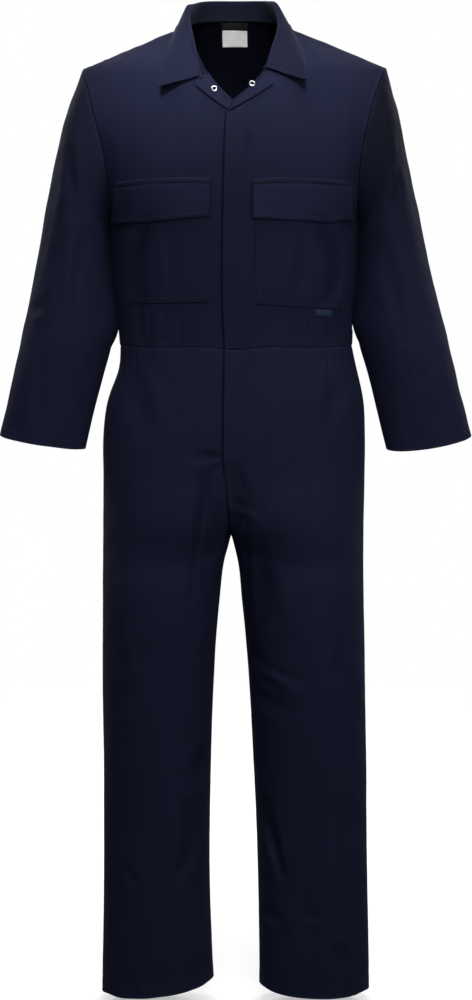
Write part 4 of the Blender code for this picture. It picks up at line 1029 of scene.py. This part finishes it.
# ---------------------------------------------------------------- collar
COLLAR_WALL = 2.0
LEAF_SHADE = {"right": 0.36, "left": 0.72}               # painted shade: how much darker each half's leaf is painted
LEAF = 24                                                # the first column of the collar's leaf
FOLD_PLACES = np.concatenate([                           # from the neck seam (0) to the leaf's edge (9)
    np.linspace(0, 0.12, 4), np.linspace(0.12, 2, 13)[1:], np.linspace(2, 5.2, 15)[1:],
    np.linspace(5.2, 8.6, 20)[1:], [8.72, 8.80, 8.86, 8.91, 8.95, 8.98, 9.0]])


def collar_grid(side, seam):
    """Folded section of the collar along the neck seam: stand, roll, fall."""
    s = chord(seam) / chord(seam)[-1]
    roll, leaf = (smooth(COLLAR["s"], stack(COLLAR, keys), s) for keys in ("rx ry rz", "lx ly lz"))
    roll[:, 0] *= SIGN[side]
    leaf[:, 0] *= SIGN[side]
    behind = bell(s - 0.44, 0.20) * ramp(s / 0.15)
    front, end = ramp((s - 0.84) / 0.16), ramp((s - 0.72) / 0.26)
    roll[:, 2] += ROLL_RISE[side] * front
    roll[:, 1] += 0.4 * ROLL_RISE[side] * front
    roll[:, 0] -= SIGN[side] * COLLAR_IN[side][0] * behind
    leaf[:, 0] -= SIGN[side] * COLLAR_IN[side][1] * behind
    leaf[:, 2] += LEAF_RISE[side] * end
    leaf[:, 0] += SIGN[side] * LEAF_OUT[side] * end
    if side == "left":
        roll[:, 0] -= 4.5 * bell(s - 0.90, 0.10)
    else:
        roll[:, 2] -= 4.4 * bell(s - 0.43, 0.15) * ramp(s / 0.15)
    rows = []
    for n, r, f in zip(seam, roll, leaf):
        up = unit(r - n)
        out = unit(f - r) * np.array([1, 1, 0.2])
        out = unit(out - up * (out @ up))
        start = r + out * 4.4 - up * 1.2
        keys = [n, n + (r - n) * 0.5, r - up * 2.4 - out * 0.4, r + out * 0.7,
                r + out * 2.6 + up * 0.8, start]
        keys += [start + (f - start) * w + out * 1.5 * np.sin(np.pi * w) for w in (0.2, 0.45, 0.7, 1.0)]
        rows.append(smooth(np.arange(10), np.array(keys), FOLD_PLACES))
    return np.array(rows)


def stand_clear(g, skin):
    """Push the leaf out to its distance over the bodice, without a shelf, and even it out."""
    short, ways = np.zeros(g.shape[:2]), np.zeros(g.shape)
    for i, j in np.ndindex(short.shape):
        if j >= LEAF:
            x, y, z = g[i, j]
            p, n = skin.near(g[i, j])
            need = 4.0 + 2.5 * bell(y, 30.0) + 1.2 * ramp((y - 34) / 16)
            need += 1.6 * ramp((-60 - z) / 14) * ramp((80 - abs(x)) / 10)      # over the turned-out facing
            short[i, j] = max(0.0, need - (g[i, j] - p) @ n)
            ways[i, j] = n
    for _ in range(6):
        pad = np.pad(short, 1, mode="edge")
        mean = (pad[:-2, 1:-1] + pad[2:, 1:-1] + pad[1:-1, :-2] + pad[1:-1, 2:]) / 4
        short[:, LEAF:] = np.maximum(short, mean)[:, LEAF:] * 0.5 + mean[:, LEAF:] * 0.5
    g = g + unit(ways + np.array([0, 0, 1e-6])) * short[..., None]
    g[1:-1, 20:-8] = relax(g[:, 18:-6].copy(), 10)[1:-1, 2:-2]
    return g


class Collar(Cloth):
    """The collar faces out by its stand, so its leaf shows the other side."""

    def __init__(self, name, grids):
        super().__init__(name, grids, lambda g: g * 0)
        stands = [g[:, :14] for g in self.grids]
        self.signs = [1.0 if (g * (1, 1, 0) * grid_normals(g)).sum() > 0 else -1.0 for g in stands]


bodice_skin = Skin([cloths[k] for k in ("front_right", "front_left", "back")])
halves = []
for k, s in enumerate(SIDES):
    rear, fore = cloths["back"].grids[k], cloths["front_" + s].grids[0]
    seam = np.vstack([rear[NECK_BACK:, 0], fore[NECK_FRONT:-1, 0][::-1]])
    run = chord(seam)
    seam = sampled(seam, run, stations(run[-1], 4.0, (0.0,), FINE_STEPS))
    halves.append(stand_clear(collar_grid(s, seam), bodice_skin))
collar = Collar("cloth_collar", halves)
collar_normals = shared_normals([collar])[0]
wall, wear = [], []
for s, (across, down) in zip(SIDES, collar.runs):
    column = np.arange(across.shape[1])
    from_edge, from_end = across[:, -1:] - across, down[-1:] - down
    gap = np.minimum(from_edge, from_end)
    ripple = 0.10 * np.sin(down / 2.3 + across / 9) * bell(gap - 3.0, 3.0)
    depth = COLLAR_WALL * (1 - 0.5 * np.exp(-(gap / 0.8)))
    depth = depth - np.where(column > 26, 0.34 * bell(gap - 5.0, 0.9), 0)
    wall.append(depth + np.where(column > 26, ripple, 0))
    rub_and_painted_light = 0.9 * bell(np.minimum(from_edge, np.where(column > LEAF, from_end, 99.0)) - 0.6, 1.2)
    # painted shade: the stand inside the neck, and each leaf by its own amount
    shade = 1.5 * (1 - ramp((column - 10) / 12.0)) + LEAF_SHADE[s] * ramp((column - 20) / 6.0)
    wear.append(rub_and_painted_light - shade[None])
dress(walls(collar, collar_normals, wall, twill_facing, wear), ["collar"], "facing")
collar_tops = [(g - n * w[..., None], -n) for g, n, w in zip(collar.grids, collar_normals, wall)]


# ---------------------------------------------------------------- pieces laid on the fronts
LABEL_EDGES = ((0.0, 0.3, 0.8), (0.0, 0.3, 0.8))         # mesh spacing in from both ends of a small piece
FLY_EDGES, FLY_ENDS = (FINE_STEPS, (0.0, 0.6, 1.5, 3.0)), ((0.0, 0.6, 1.6), (0.0, 0.6, 1.6))


def net(lines, across=(FINE_STEPS, FINE_STEPS), low=FINE_STEPS, high=FINE_STEPS, step=2.6):
    """Front-view places between lines given as short lists of x and z, top line first."""
    lines = [np.array(line, float) for line in lines]
    wide = chord(lines[-1])[-1]
    u = stations(wide, step, *across) / wide
    curves = []
    for line in lines:
        run = chord(line)
        curves.append(smooth(run, line, u * run[-1]) if len(line) > 2 else
                      line[0] + u[:, None] * (line[1] - line[0]))
    rows = [curves[0][None]]
    for k, (a, b) in enumerate(zip(curves[:-1], curves[1:])):
        long = np.linalg.norm(a - b, axis=1).mean()
        v = stations(long, step, low if k == 0 else (0.0,), high if k == len(curves) - 2 else (0.0,)) / long
        rows.append(a[None] + v[1:, None, None] * (b - a)[None])
    return np.concatenate(rows)


fronts = Skin([cloths["front_" + s] for s in SIDES])
legs_skin = Skin([cloths["leg_front_" + s] for s in SIDES])
neck_inside = Skin([cloths["back"]], inner=True)
FINISH = {"cloth": twill_body, "cloth_lower": twill_lower, "facing": twill_facing, "tab": tab_blue,
          "label": label_white, "strip": label_black}
laid_on = {}


def laid(name, xz, skin, height, under, slot, turns=3, shade=None, tone=1.0):
    """A piece laid on the cloth: its outer height and its underside's height, by place."""
    hits = [[skin.cast(*place) for place in row] for row in xz]
    p, n = (np.array([[hit[k] for hit in row] for row in hits]) for k in (0, 1))
    p = relax(p, turns)
    piece = Cloth(name, [p], lambda g: g + np.array([0, 1.0, 0]))
    across, down = piece.runs[0]
    high, low = height(across, down), under(across, down)
    piece.grids, piece.fine_normals = [p + n * high[..., None]], [n]
    rub_and_painted_light = 0.75 * bell(edge_gap(across, down) - 0.5, 1.1)
    # painted fold shade of the cloth below, at the share given by tone
    if not skin.inner:
        rub_and_painted_light = rub_and_painted_light + tone * np.array([[skin.painted_shade_at(q) for q in row] for row in p])
    # painted shade and highlight from the piece's own shade function
    if shade:
        rub_and_painted_light = rub_and_painted_light - shade(across, down)
    node = name.replace("cloth_", "").replace("_blank", "")
    dress(walls(piece, [n], [high - low], FINISH[slot], [rub_and_painted_light]), [node], slot)
    laid_on[node] = piece


def edge_gap(across, down, sides="abcd"):
    """Distance to the nearest of the edges: a first column, b last, c first row, d last row."""
    gaps = {"a": across, "b": across[:, -1:] - across, "c": down, "d": down[-1:] - down}
    return np.minimum.reduce([gaps[k] + 0 * across for k in sides])


def rolled(gap, wall, inset=1.6, groove=0.30):
    """Rounded edge with a stitched groove a little way in."""
    return wall * (1 - 0.62 * np.exp(-gap / 0.7)) - groove * bell(gap - inset, 0.55)


# Lines of x and z over each piece, from its top line to its bottom line
FLAP = {"right": ([(-186, -251), (-147, -249), (-108, -248), (-70, -248), (-37, -250)],
                  [(-186.5, -263), (-147, -260), (-124, -258), (-93, -256), (-66, -256), (-38, -258)],
                  [(-189, -312), (-155, -313.5), (-124, -313.5), (-93, -311.5), (-62, -309), (-38, -308)]),
        "left": ([(26, -252), (62, -248), (101, -248), (147, -249), (180, -251)],
                 [(26.5, -259), (70, -256), (101, -257), (132, -259), (180, -260)],
                 [(27, -311), (70, -312.5), (106, -313.5), (163, -311), (182, -307)])}
POCKET = {"right": ([(-185, -272), (-110, -264), (-39, -262)], [(-179, -360), (-110, -352), (-40, -350)],
                    [(-167, -441), (-100, -441), (-40, -440)]),
          "left": ([(30, -264), (100, -263), (179, -270)], [(32, -352), (100, -354), (175.5, -360)],
                   [(33, -443), (100, -447), (168, -450)])}
PLACKET = {"upper": ([(-14.5, -146.5), (-9.5, -148.5), (5, -142), (21.5, -131)],
                     [(-16.6, -168), (21.6, -166)], [(-18.2, -215), (21.8, -215)],
                     [(-20.4, -310), (22.5, -310)], [(-21.4, -390), (22.5, -390)],
                     [(-20.8, -440), (22.5, -440)], [(-18.8, -488), (22.5, -488)],
                     [(-17.4, -511.2), (22.5, -510.4)]),
           "lower": ([(-17.4, -513.0), (22, -512.2)], [(-18.6, -545), (22, -545)],
                     [(-19.6, -600), (21.5, -600)], [(-20.1, -660), (18, -660)],
                     [(-19.8, -688), (5, -689)], [(-17.6, -713), (-9.5, -714)])}
LAPEL = {"right": ([(-53.5, -66), (-28, -105.5), (-4, -131)], [(-60, -107), (-36, -127), (-10, -145)]),
         "left": ([(-3, -130), (26, -103.5), (50.5, -71)], [(-8.5, -145.5), (26, -126), (59, -105)])}
TAB = ([(125.5, -449.5), (151.5, -451)], [(125.5, -459.5), (151.5, -461)])
LABEL = ([(-20.5, 9.5), (20, 9)], [(-20.8, -2), (20.2, -2)], [(-20, -15), (20.6, -14.6)])
STRIP = ([(-22, 20), (20.5, 20)], [(-22, 11), (20.5, 11)])
FLAP_FOLD = {"right": 8.5, "left": 8.0}                  # how far under its top edge a flap folds down


def bag_under(across, down):
    return LIFT + 0.7 * ramp(edge_gap(across, down, "abd") / 30.0) * ramp(down / 60.0)


def bag_height(across, down):
    """A pocket's bag, a little fuller in its middle."""
    gap = edge_gap(across, down, "abd")
    inner = ramp(gap / 30.0) * ramp(down / 60.0)
    pucker = 0.10 * np.sin(across / 2.1) * np.exp(-gap / 4.0)
    return LIFT + rolled(gap, PATCH) + 0.9 * inner + pucker - 0.2 * bell(gap - 7.5, 0.7)


def bag_shade(across, down):
    # painted shadow along the pocket's bottom edge and its sides
    return 1.7 * bell(down[-1:] - down, 1.3) + 1.0 * bell(edge_gap(across, down, "ab"), 0.9)


def flap_forms(side):
    """Height, underside, and painted shade and highlight of a flap that folds down over its pocket."""
    fold_at = FLAP_FOLD[side]

    def lift(across, down):
        drop = ramp((down - fold_at) / (down[-1:] - fold_at))
        ends = np.exp(-across / 18.0) + np.exp(-(across[:, -1:] - across) / 18.0)
        wave = 0.6 * np.sin(across / 17.0 + 0.8) * drop
        return ramp(down / 14.0) * (LIFT + PATCH + 0.3) + 2.6 * drop + 0.9 * ends * drop + wave + 0.35

    def height(across, down):
        gap, low = edge_gap(across, down), edge_gap(across, down, "abd")
        band = 0.5 * bell(down - fold_at * 0.45, 2.2)
        fall = ramp((down - fold_at) / 2.2)
        roll = 0.7 * bell(low - 3.6, 2.4) * fall
        return (lift(across, down) + rolled(gap, PATCH + 0.5) - 1.5 * bell(down - fold_at, 1.2) + band
                + 1.5 * fall + roll + 0.12 * np.sin(across / 1.9) * np.exp(-gap / 3.5))

    def shade(across, down):
        inner, outer = across, across[:, -1:] - across
        if side == "right":
            inner, outer = outer, inner
        # painted highlight on the face below the fold, painted shade in the fold and along both sides
        return (-0.45 * ramp((down - fold_at) / 6.0) + 0.8 * bell(down - fold_at, 1.1)
                + 1.7 * bell(inner, 1.4) + 1.0 * bell(outer, 1.0))
    return height, lift, shade


def fly_pucker(across, down):
    """Small slanting creases along the sewn edge near the top; 0 is low and 1 high."""
    gap = across[:, -1:] - across
    return bell(gap - 5.0, 6.0) * bell(down - 55.0, 26.0), 0.5 + 0.5 * np.sin(down / 2.4 - gap / 3.2)


def fly_under(across, down):
    return 0.22 + 0.25 * ramp((across[:, -1:] - across) / 9.0) + 0.9 * np.exp(-across / 6.0)


def fly_height(across, down):
    """Free on its right edge, flush with the front on its left one."""
    flush = ramp((across[:, -1:] - across) / 9.0)
    near, wave = fly_pucker(across, down)
    return (LIFT * 0.5 + 0.2 + rolled(across, 2.2, 6.0, 0.3) * (0.12 + 0.88 * flush) + 0.35 * flush
            + 0.7 * np.exp(-across / 6.0) + 1.2 * near * wave)


def fly_low_height(across, down):
    """As above, thinning out to nothing at its lower end."""
    under = fly_under(across, down)
    return under + 0.3 + (fly_height(across, down) - under - 0.3) * ramp((down[-1:] - down) / 30.0)


def fly_shade(across, down):
    # painted shade: a dark line along the free edge where it turns under, shade in the puckers, and the
    # lighter worn line taken off the sewn edge
    near, wave = fly_pucker(across, down)
    rubbed_and_shaded = bell(across[:, -1:] - across - 0.5, 1.1)
    edge = 2.4 * bell(across, 2.0) * (0.7 + 0.3 * ramp(down / 40.0))
    return edge + 0.7 * rubbed_and_shaded + 0.4 * near * (1 - wave)


def facing_under(across, down):
    return LIFT + 0.3 + 2.2 * ramp(1 - edge_gap(across, down, "d") / 16.0)


def facing_height(across, down):
    """The turned-out top of a front facing, rolled over at its upper edge."""
    edge = rolled(edge_gap(across, down), PATCH + 0.3, 2.2)
    return facing_under(across, down) + edge + 1.8 * bell(down, 4.5)


for s in SIDES:
    laid("cloth_pocket_" + s, net(POCKET[s]), fronts, bag_height, bag_under, "cloth", shade=bag_shade)
    height, lift, shade = flap_forms(s)
    # the flaps take only a share of the painted fold shade below them
    laid("cloth_flap_" + s, net(FLAP[s]), fronts, height, lift, "cloth", shade=shade, tone=0.35)
for k, skin, height, slot in (("upper", fronts, fly_height, "cloth"),
                              ("lower", legs_skin, fly_low_height, "cloth_lower")):
    places = net(PLACKET[k], FLY_EDGES, *FLY_ENDS)
    laid("cloth_placket_" + k, places, skin, height, fly_under, slot, 6, fly_shade)
for s in SIDES:
    laid("cloth_lapel_" + s, net(LAPEL[s], step=2.2), fronts, facing_height, facing_under, "facing")
laid("pocket_tab_blank", net(TAB, LABEL_EDGES, *LABEL_EDGES, 1.5), fronts,
     lambda a, d: 1.3 + rolled(edge_gap(a, d), 0.7, 1.1, 0.1), lambda a, d: 1.3 + 0 * a, "tab", 6)
laid("neck_label_blank", net(LABEL, LABEL_EDGES, *LABEL_EDGES, 2.0), neck_inside,
     lambda a, d: 0.9 + 0.5 * ramp(d / 18.0) + 0.4 + 0.25 * np.sin(a / 6.5),
     lambda a, d: 0.9 + 0.5 * ramp(d / 18.0) + 0.25 * np.sin(a / 6.5), "label")
laid("label_strip_blank", net(STRIP, LABEL_EDGES, *LABEL_EDGES, 2.0), neck_inside,
     lambda a, d: 0.8 + rolled(edge_gap(a, d), 0.6, 1.0, 0.1), lambda a, d: 0.8 + 0 * a, "strip")


# ---------------------------------------------------------------- gathered back waist
CASING_ROWS, CASING_WALL = 19, 0.9
ELASTIC_ROWS = (0.08, 0.36, 0.64, 0.92)                  # where its rows of stitches lie, as a share


def casing():
    """The elastic casing from side seam to side seam, puffed between its rows of stitches."""
    rows = BODY_ROWS <= 1.0 + 1e-6
    g, n = (np.concatenate([v[0][:, ::-1], v[1][:, 1:]], axis=1)[rows]
            for v in (cloths["back"].grids, cloths["back"].fine_normals))
    run = chord(g[0])
    inset = 4.0
    at = np.linspace(inset, run[-1] - inset, GATHERS * 9 + 1)
    heights = np.linspace(*CASING, CASING_ROWS)
    p, m = np.empty((2, CASING_ROWS, len(at), 3))
    level = chord(g[:, g.shape[1] // 2])
    for values, out in ((g, p), (n, m)):
        for k in range(3):
            wide = np.stack([np.interp(at, run, row) for row in values[..., k]])
            for j in range(len(at)):
                out[:, j, k] = np.interp(heights * level[-1], level, wide[:, j])
    for _ in range(40):
        p[:, 1:-1] = 0.5 * p[:, 1:-1] + 0.25 * (p[:, :-2] + p[:, 2:])
    t = ((heights - CASING[0]) / (CASING[1] - CASING[0]))[:, None]
    held = bell(t - np.array([ELASTIC_ROWS]), 0.045).max(axis=1)[:, None]
    tilt = 0.012 * np.sin(np.linspace(0, 9, len(at)))[None] * (t - 0.5)
    wave = gather_wave((at / run[-1] * 2 - 1)[None] + tilt)
    full = ramp((run[-1] / 2 - np.abs(at - run[-1] / 2) - 1.0) / 26.0)[None]
    out = LIFT + 0.9 + full * (PATCH + wave * (2.5 - 1.3 * held) + 0.7 * (1 - held))
    return p + unit(m) * out[..., None]


elastic = Cloth("cloth_waist_elastic", [casing()], body_axis)
elastic.fine_normals = [unit(n) for n in elastic.normals()]
dress(walls(elastic, elastic.fine_normals, CASING_WALL, twill_body), ["waist_elastic"], "cloth_lower")


# ---------------------------------------------------------------- press studs
STUDS = {"right": (-32, -112), "left": (26, -102)}
RING = ((2.75, 0.05), (2.75, 0.6), (2.9, 0.95), (3.35, 1.2),
        (3.9, 1.22), (4.5, 1.02), (4.95, 0.6), (5.1, 0.1))
CUP = ((0.05, 0.1), (0.8, 0.12), (1.1, 0.35), (1.4, 0.38),
       (1.7, 0.2), (2.65, 0.18), (2.7, 0.0), (0.05, 0.0))


def around(n, w):
    """Directions square to n at angles w."""
    u = unit(np.cross(n, [0, 0, 1.0]))
    return np.cos(w)[:, None] * u + np.sin(w)[:, None] * np.cross(n, u)


def turned(name, centre, n, profile, material, count=40):
    """A turned part on a facing: radius and height pairs from the middle of its underside."""
    ring = around(n, np.linspace(0, 2 * np.pi, count, endpoint=False))
    p = np.concatenate([centre + n * h + ring * r for r, h in profile])
    k = np.arange(count)
    nxt = (k + 1) % count
    faces = []
    for a in range(len(profile)):
        b = (a + 1) % len(profile)
        faces.append(np.stack([a * count + k, a * count + nxt, b * count + nxt, b * count + k], axis=1))
    faces = np.concatenate(faces)
    first, second, third = (p[faces[:, q]] for q in range(3))
    if (np.cross(second - first, third - first) * first).sum() < 0:
        faces = faces[:, ::-1]
    return make(name, p, faces, None, material)


for s in SIDES:
    facing = Skin([laid_on["lapel_" + s]])
    centre, n = facing.cast(*STUDS[s])
    spots = [centre + way * r for way in around(n, np.linspace(0, 6, 12)) for r in (2.0, 5.6)]
    top = max((facing.cast(q[0], q[2])[0] - centre) @ n for q in spots)
    centre = centre + n * (top + 0.1)
    dress(turned("stud_ring_" + s, centre, n, RING, nickel), ["stud_" + s], "stud")
    dress(turned("stud_cup_" + s, centre, n, CUP, socket), [], "stud")


# ---------------------------------------------------------------- rows of stitches
FELL, WAIST_ROWS = (1.7, 7.2), (1.7, 6.4)                # insets of a felled seam's rows, and at the waist
SEW_STEP = 3.0


def sew(group, xz, skin):
    """Stitches along a line of x and z, laid on what a ray along y meets; gaps where it drops away."""
    xz = np.array(xz, float)
    run = chord(xz)
    hits = [skin.cast(x, z) for x, z in smooth(run, xz, np.arange(0.0, run[-1] + SEW_STEP * 0.5, SEW_STEP))]
    p, n = (np.array([hit[k] for hit in hits]) for k in (0, 1))
    cut = np.nonzero(np.linalg.norm(np.diff(p, axis=0), axis=1) > 3.2 * SEW_STEP)[0] + 1
    for a, b in zip([0, *cut], [*cut, len(p)]):
        if b - a > 3:
            stitch(group, p[a:b], n[a:b])


def beside(group, piece, insets, *spans, k=0):
    """Rows beside a piece's edges; each span is an edge with its low and high share."""
    for inset in insets:
        for edge, low, high in spans:
            stitch(group, *edge_line(piece.grids[k], piece.fine_normals[k], edge, inset, low, high))


def inset_rows(node, insets, edges):
    """Rows at insets beside several edges of a laid piece, each ending at the row beside the next edge."""
    piece = laid_on[node]
    for inset in insets:
        for edge in edges:
            pts, nrm = edge_line(piece.grids[0], piece.fine_normals[0], edge, inset)
            run = chord(pts)
            start, end = ("bottom", "top") if edge in ("first", "last") else ("first", "last")
            keep = np.ones(len(pts), bool)
            if start in edges:
                keep &= run > inset
            if end in edges:
                keep &= run[-1] - run > inset
            if keep.sum() > 3:
                stitch("overlays", pts[keep], nrm[keep])


for s in SIDES:
    inset_rows("flap_" + s, (1.9,), ("first", "last", "top", "bottom"))
    inset_rows("flap_" + s, (6.6,), ("bottom",))
    inset_rows("flap_" + s, (7.6,), ("first", "last", "top"))
    inset_rows("pocket_" + s, (1.9, 7.6), ("first", "last", "top"))
    inset_rows("lapel_" + s, (2.2,), ("first", "last", "top"))
for k in ("placket_upper", "placket_lower"):
    inset_rows(k, (1.4,), ("last",))
    inset_rows(k, (6.0,), ("first",))
inset_rows("pocket_tab", (1.1,), ("first", "last"))
COLLAR_LINES = (("last", 5.0, 0.0, 0.985), ("top", 5.0, 0.52, 0.94), ("first", 2.2, 0.0, 0.99))
for g, n in collar_tops:                                 # the leaf's edge and end, and along the neck seam
    for edge, inset, low, high in COLLAR_LINES:
        stitch("collar", *edge_line(g, n, edge, inset, low, high))
under, crotch = UNDERARM / (len(BODY_ROWS) - 1), CROTCH / (len(LEG_ROWS) - 1)
armhole = ("last", under + 0.01, 0.99)
# Side seam or inseam, then the middle seam, which is sewn on the left panels only
LEG_SEAMS = {"front": [("last", 0.01, 0.985), ("first", 0.17, crotch - 0.02)],
             "back": [("first", crotch + 0.01, 0.985), ("first", 0.01, crotch - 0.02)]}
for k, s in enumerate(SIDES):
    beside("body", cloths["front_" + s], FELL, armhole)
    beside("body", cloths["front_" + s], WAIST_ROWS, ("bottom", 0.12, 0.98))
    beside("body", cloths["back"], FELL, armhole, k=k)
    beside("body", cloths["back"], FELL, ("last", 0.10, under - 0.01), ("top", 0.03, 0.97), k=k)
    for kind, spans in LEG_SEAMS.items():
        c = cloths["leg_%s_%s" % (kind, s)]
        beside("lower", c, FELL[:1], ("bottom", 0.02, 0.98))
        beside("lower", c, (HEM_STITCH,), ("top", 0.01, 0.99))
        beside("lower", c, FELL, *(spans if s == "left" else spans[:1]))
    beside("body", cloths["sleeve_" + s], (CUFF_STITCH,), ("top", 0.005, 0.995))
    beside("body", cloths["sleeve_" + s], FELL, ("last", 0.02, 0.97))
for line in (((-167, -478), (-150, -478), (-132, -477)), ((-168, -494), (-148, -494), (-122, -493)),
             ((145, -467), (112, -467), (81, -466)), ((168, -484), (148, -484), (118, -483))):
    sew("body", line, fronts)
for share in ELASTIC_ROWS:
    row = int(round(share * (CASING_ROWS - 1)))
    stitch("elastic", elastic.grids[0][row], elastic.fine_normals[0][row], 3.0, 2.3)
for node, edges in (("neck_label", ("first", "last", "top")), ("label_strip", ("first", "last"))):
    piece = laid_on[node]
    for edge in edges:
        stitch("label", *edge_line(piece.grids[0], piece.fine_normals[0], edge, 1.0), 2.2, 1.5, 0.16)
for group, points in thread_points.items():
    obj = make("stitches_" + group, np.concatenate(points), np.concatenate(thread_quads[group]), None,
               thread_black if group == "label" else thread_navy)
    dress(obj, [], "cloth_lower" if group in ("lower", "elastic") else "cloth")


# ---------------------------------------------------------------- floor, backdrop, light and camera
FLOOR_Z, EYE, AIM_DOWN, LENS = -1.604, (0.00164, -2.78934515, -0.51474), 5.0, 61.463
FLOOR_RINGS, FLOOR_SIDES = np.linspace(0.4, 3.2, 8), 64
AMBIENT = 0.06


def grey(level):
    return rgba((level, level, level))


def stage_floor():
    """Round pale studio floor that fades out towards its rim."""
    count = FLOOR_SIDES
    w = np.linspace(0, 2 * np.pi, count, endpoint=False)
    pts = [(r * math.cos(a), r * math.sin(a), FLOOR_Z) for r in FLOOR_RINGS for a in w] + [(0, 0, FLOOR_Z)]
    k = np.arange(count)
    nxt = (k + 1) % count
    faces = [np.stack([r * count + k, (r + 1) * count + k, (r + 1) * count + nxt, r * count + nxt], axis=1)
             for r in range(len(FLOOR_RINGS) - 1)]
    middle = np.full(count // 2, len(pts) - 1)
    faces.append(np.stack([middle, k[::2], k[1::2], (k[::2] + 2) % count], axis=1))
    m = Nodes("studio floor")
    grain = m.noise(3.0, 2.0)
    ray = m.add("ShaderNodeLightPath").outputs["Is Camera Ray"]
    far = m.add("ShaderNodeVectorMath", {0: m.place}, operation="LENGTH").outputs["Value"]
    fade = m.add("ShaderNodeMapRange", {0: far, 1: 1.7, 2: 3.3, 3: 1.0, 4: 0.0},
                 interpolation_type="SMOOTHSTEP")
    m.finish(Base_Color=m.mix(ray, grey(0.10), m.mix(grain, grey(0.84), grey(0.88))),
             Roughness=m.scaled(grain, 0.05, 0.9), Specular_IOR_Level=0.0, Emission_Color=grey(1.0),
             Emission_Strength=m.times(ray, 0.45), Alpha=fade.outputs[0])
    make("studio_floor", np.array(pts) / MM, np.concatenate(faces), None, m.mat)


def studio_world():
    """White surroundings for the eye, and little light from them."""
    world = bpy.data.worlds.new("studio")
    bpy.context.scene.world = world
    world.use_nodes = True
    tree = world.node_tree
    seen, lit = tree.nodes["Background"], tree.nodes.new("ShaderNodeBackground")
    for node, colour, strength in ((seen, (1, 1, 1, 1), 1.0), (lit, (0.94, 0.97, 1, 1), AMBIENT)):
        node.inputs[0].default_value, node.inputs[1].default_value = colour, strength
    mix = tree.nodes.new("ShaderNodeMixShader")
    ray = tree.nodes.new("ShaderNodeLightPath").outputs["Is Camera Ray"]
    for out, into in zip((ray, lit.outputs[0], seen.outputs[0]), mix.inputs):
        tree.links.new(out, into)
    tree.links.new(mix.outputs[0], tree.nodes["World Output"].inputs[0])


def placed(name, data, at):
    obj = bpy.data.objects.new(name, data)
    bpy.context.scene.collection.objects.link(obj)
    obj.location = at
    return obj


def lamp(name, kind, at, aim, power, **form):
    """A light that points from one place at another."""
    light = bpy.data.lights.new(name, kind)
    light.energy = power
    for k, v in form.items():
        setattr(light, k, v)
    turn = (Vector(aim) - Vector(at)).to_track_quat("-Z", "Y")
    placed(name, light, at).rotation_euler = turn.to_euler()


# Lights in metres and watts: name, place, aim, size, power
AREAS = (("key", (0.0, -0.8, 2.6), (0.0, 0.0, -0.5), (1.6, 1.0), 36),
         ("main", (0.25, -2.7, 0.95), (0.0, 0.0, -0.6), (1.5, 1.0), 22),
         ("low", (0.1, -3.2, -0.2), (0.0, 0.0, -0.7), (1.5, 1.0), 9.5),
         ("side", (1.9, -1.9, -0.2), (0.0, 0.0, -0.6), (1.0, 1.2), 9),
         ("back", (-0.6, 3.0, 0.9), (0.0, 0.1, -0.5), (1.8, 1.4), 20),
         ("floor right", (-2.0, 1.8, 1.2), (-0.9, 1.4, FLOOR_Z), (1.2, 1.2), 42),
         ("floor left", (2.0, 1.8, 1.2), (0.9, 1.4, FLOOR_Z), (1.2, 1.2), 42))
# The same with degrees for the size, and with the lamp's radius
SPOTS = (("chest right", (-0.25, -2.1, 1.15), (-0.105, -0.09, -0.038), 6.7, 335, 0.12),
         ("chest left", (0.15, -2.1, 1.15), (0.105, -0.09, -0.038), 6.7, 240, 0.12),
         ("sleeve right", (-0.5, -3.0, 0.0), (-0.36, 0.0, -0.66), 14.0, 42, 0.12),
         ("sleeve left", (0.5, -3.0, 0.0), (0.36, 0.0, -0.66), 14.0, 36, 0.12),
         ("label", (0.0, -2.6, 0.12), (0.0, 0.06, -0.004), 1.7, 112, 0.05))
stage_floor()
studio_world()
for name, at, aim, (wide, long), power in AREAS:
    lamp(name, "AREA", at, aim, power, shape="RECTANGLE", size=wide, size_y=long)
for name, at, aim, degrees, power, radius in SPOTS:
    lamp(name, "SPOT", at, aim, power, spot_size=math.radians(degrees), spot_blend=1.0,
         shadow_soft_size=radius)

camera = placed("camera", bpy.data.cameras.new("camera"), EYE)
camera.rotation_euler = (math.radians(90 - AIM_DOWN), 0, 0)
camera.data.lens, camera.data.sensor_width, camera.data.clip_end = LENS, 36, 50
bpy.context.scene.camera = camera
bpy.context.scene.view_settings.view_transform = "Standard"
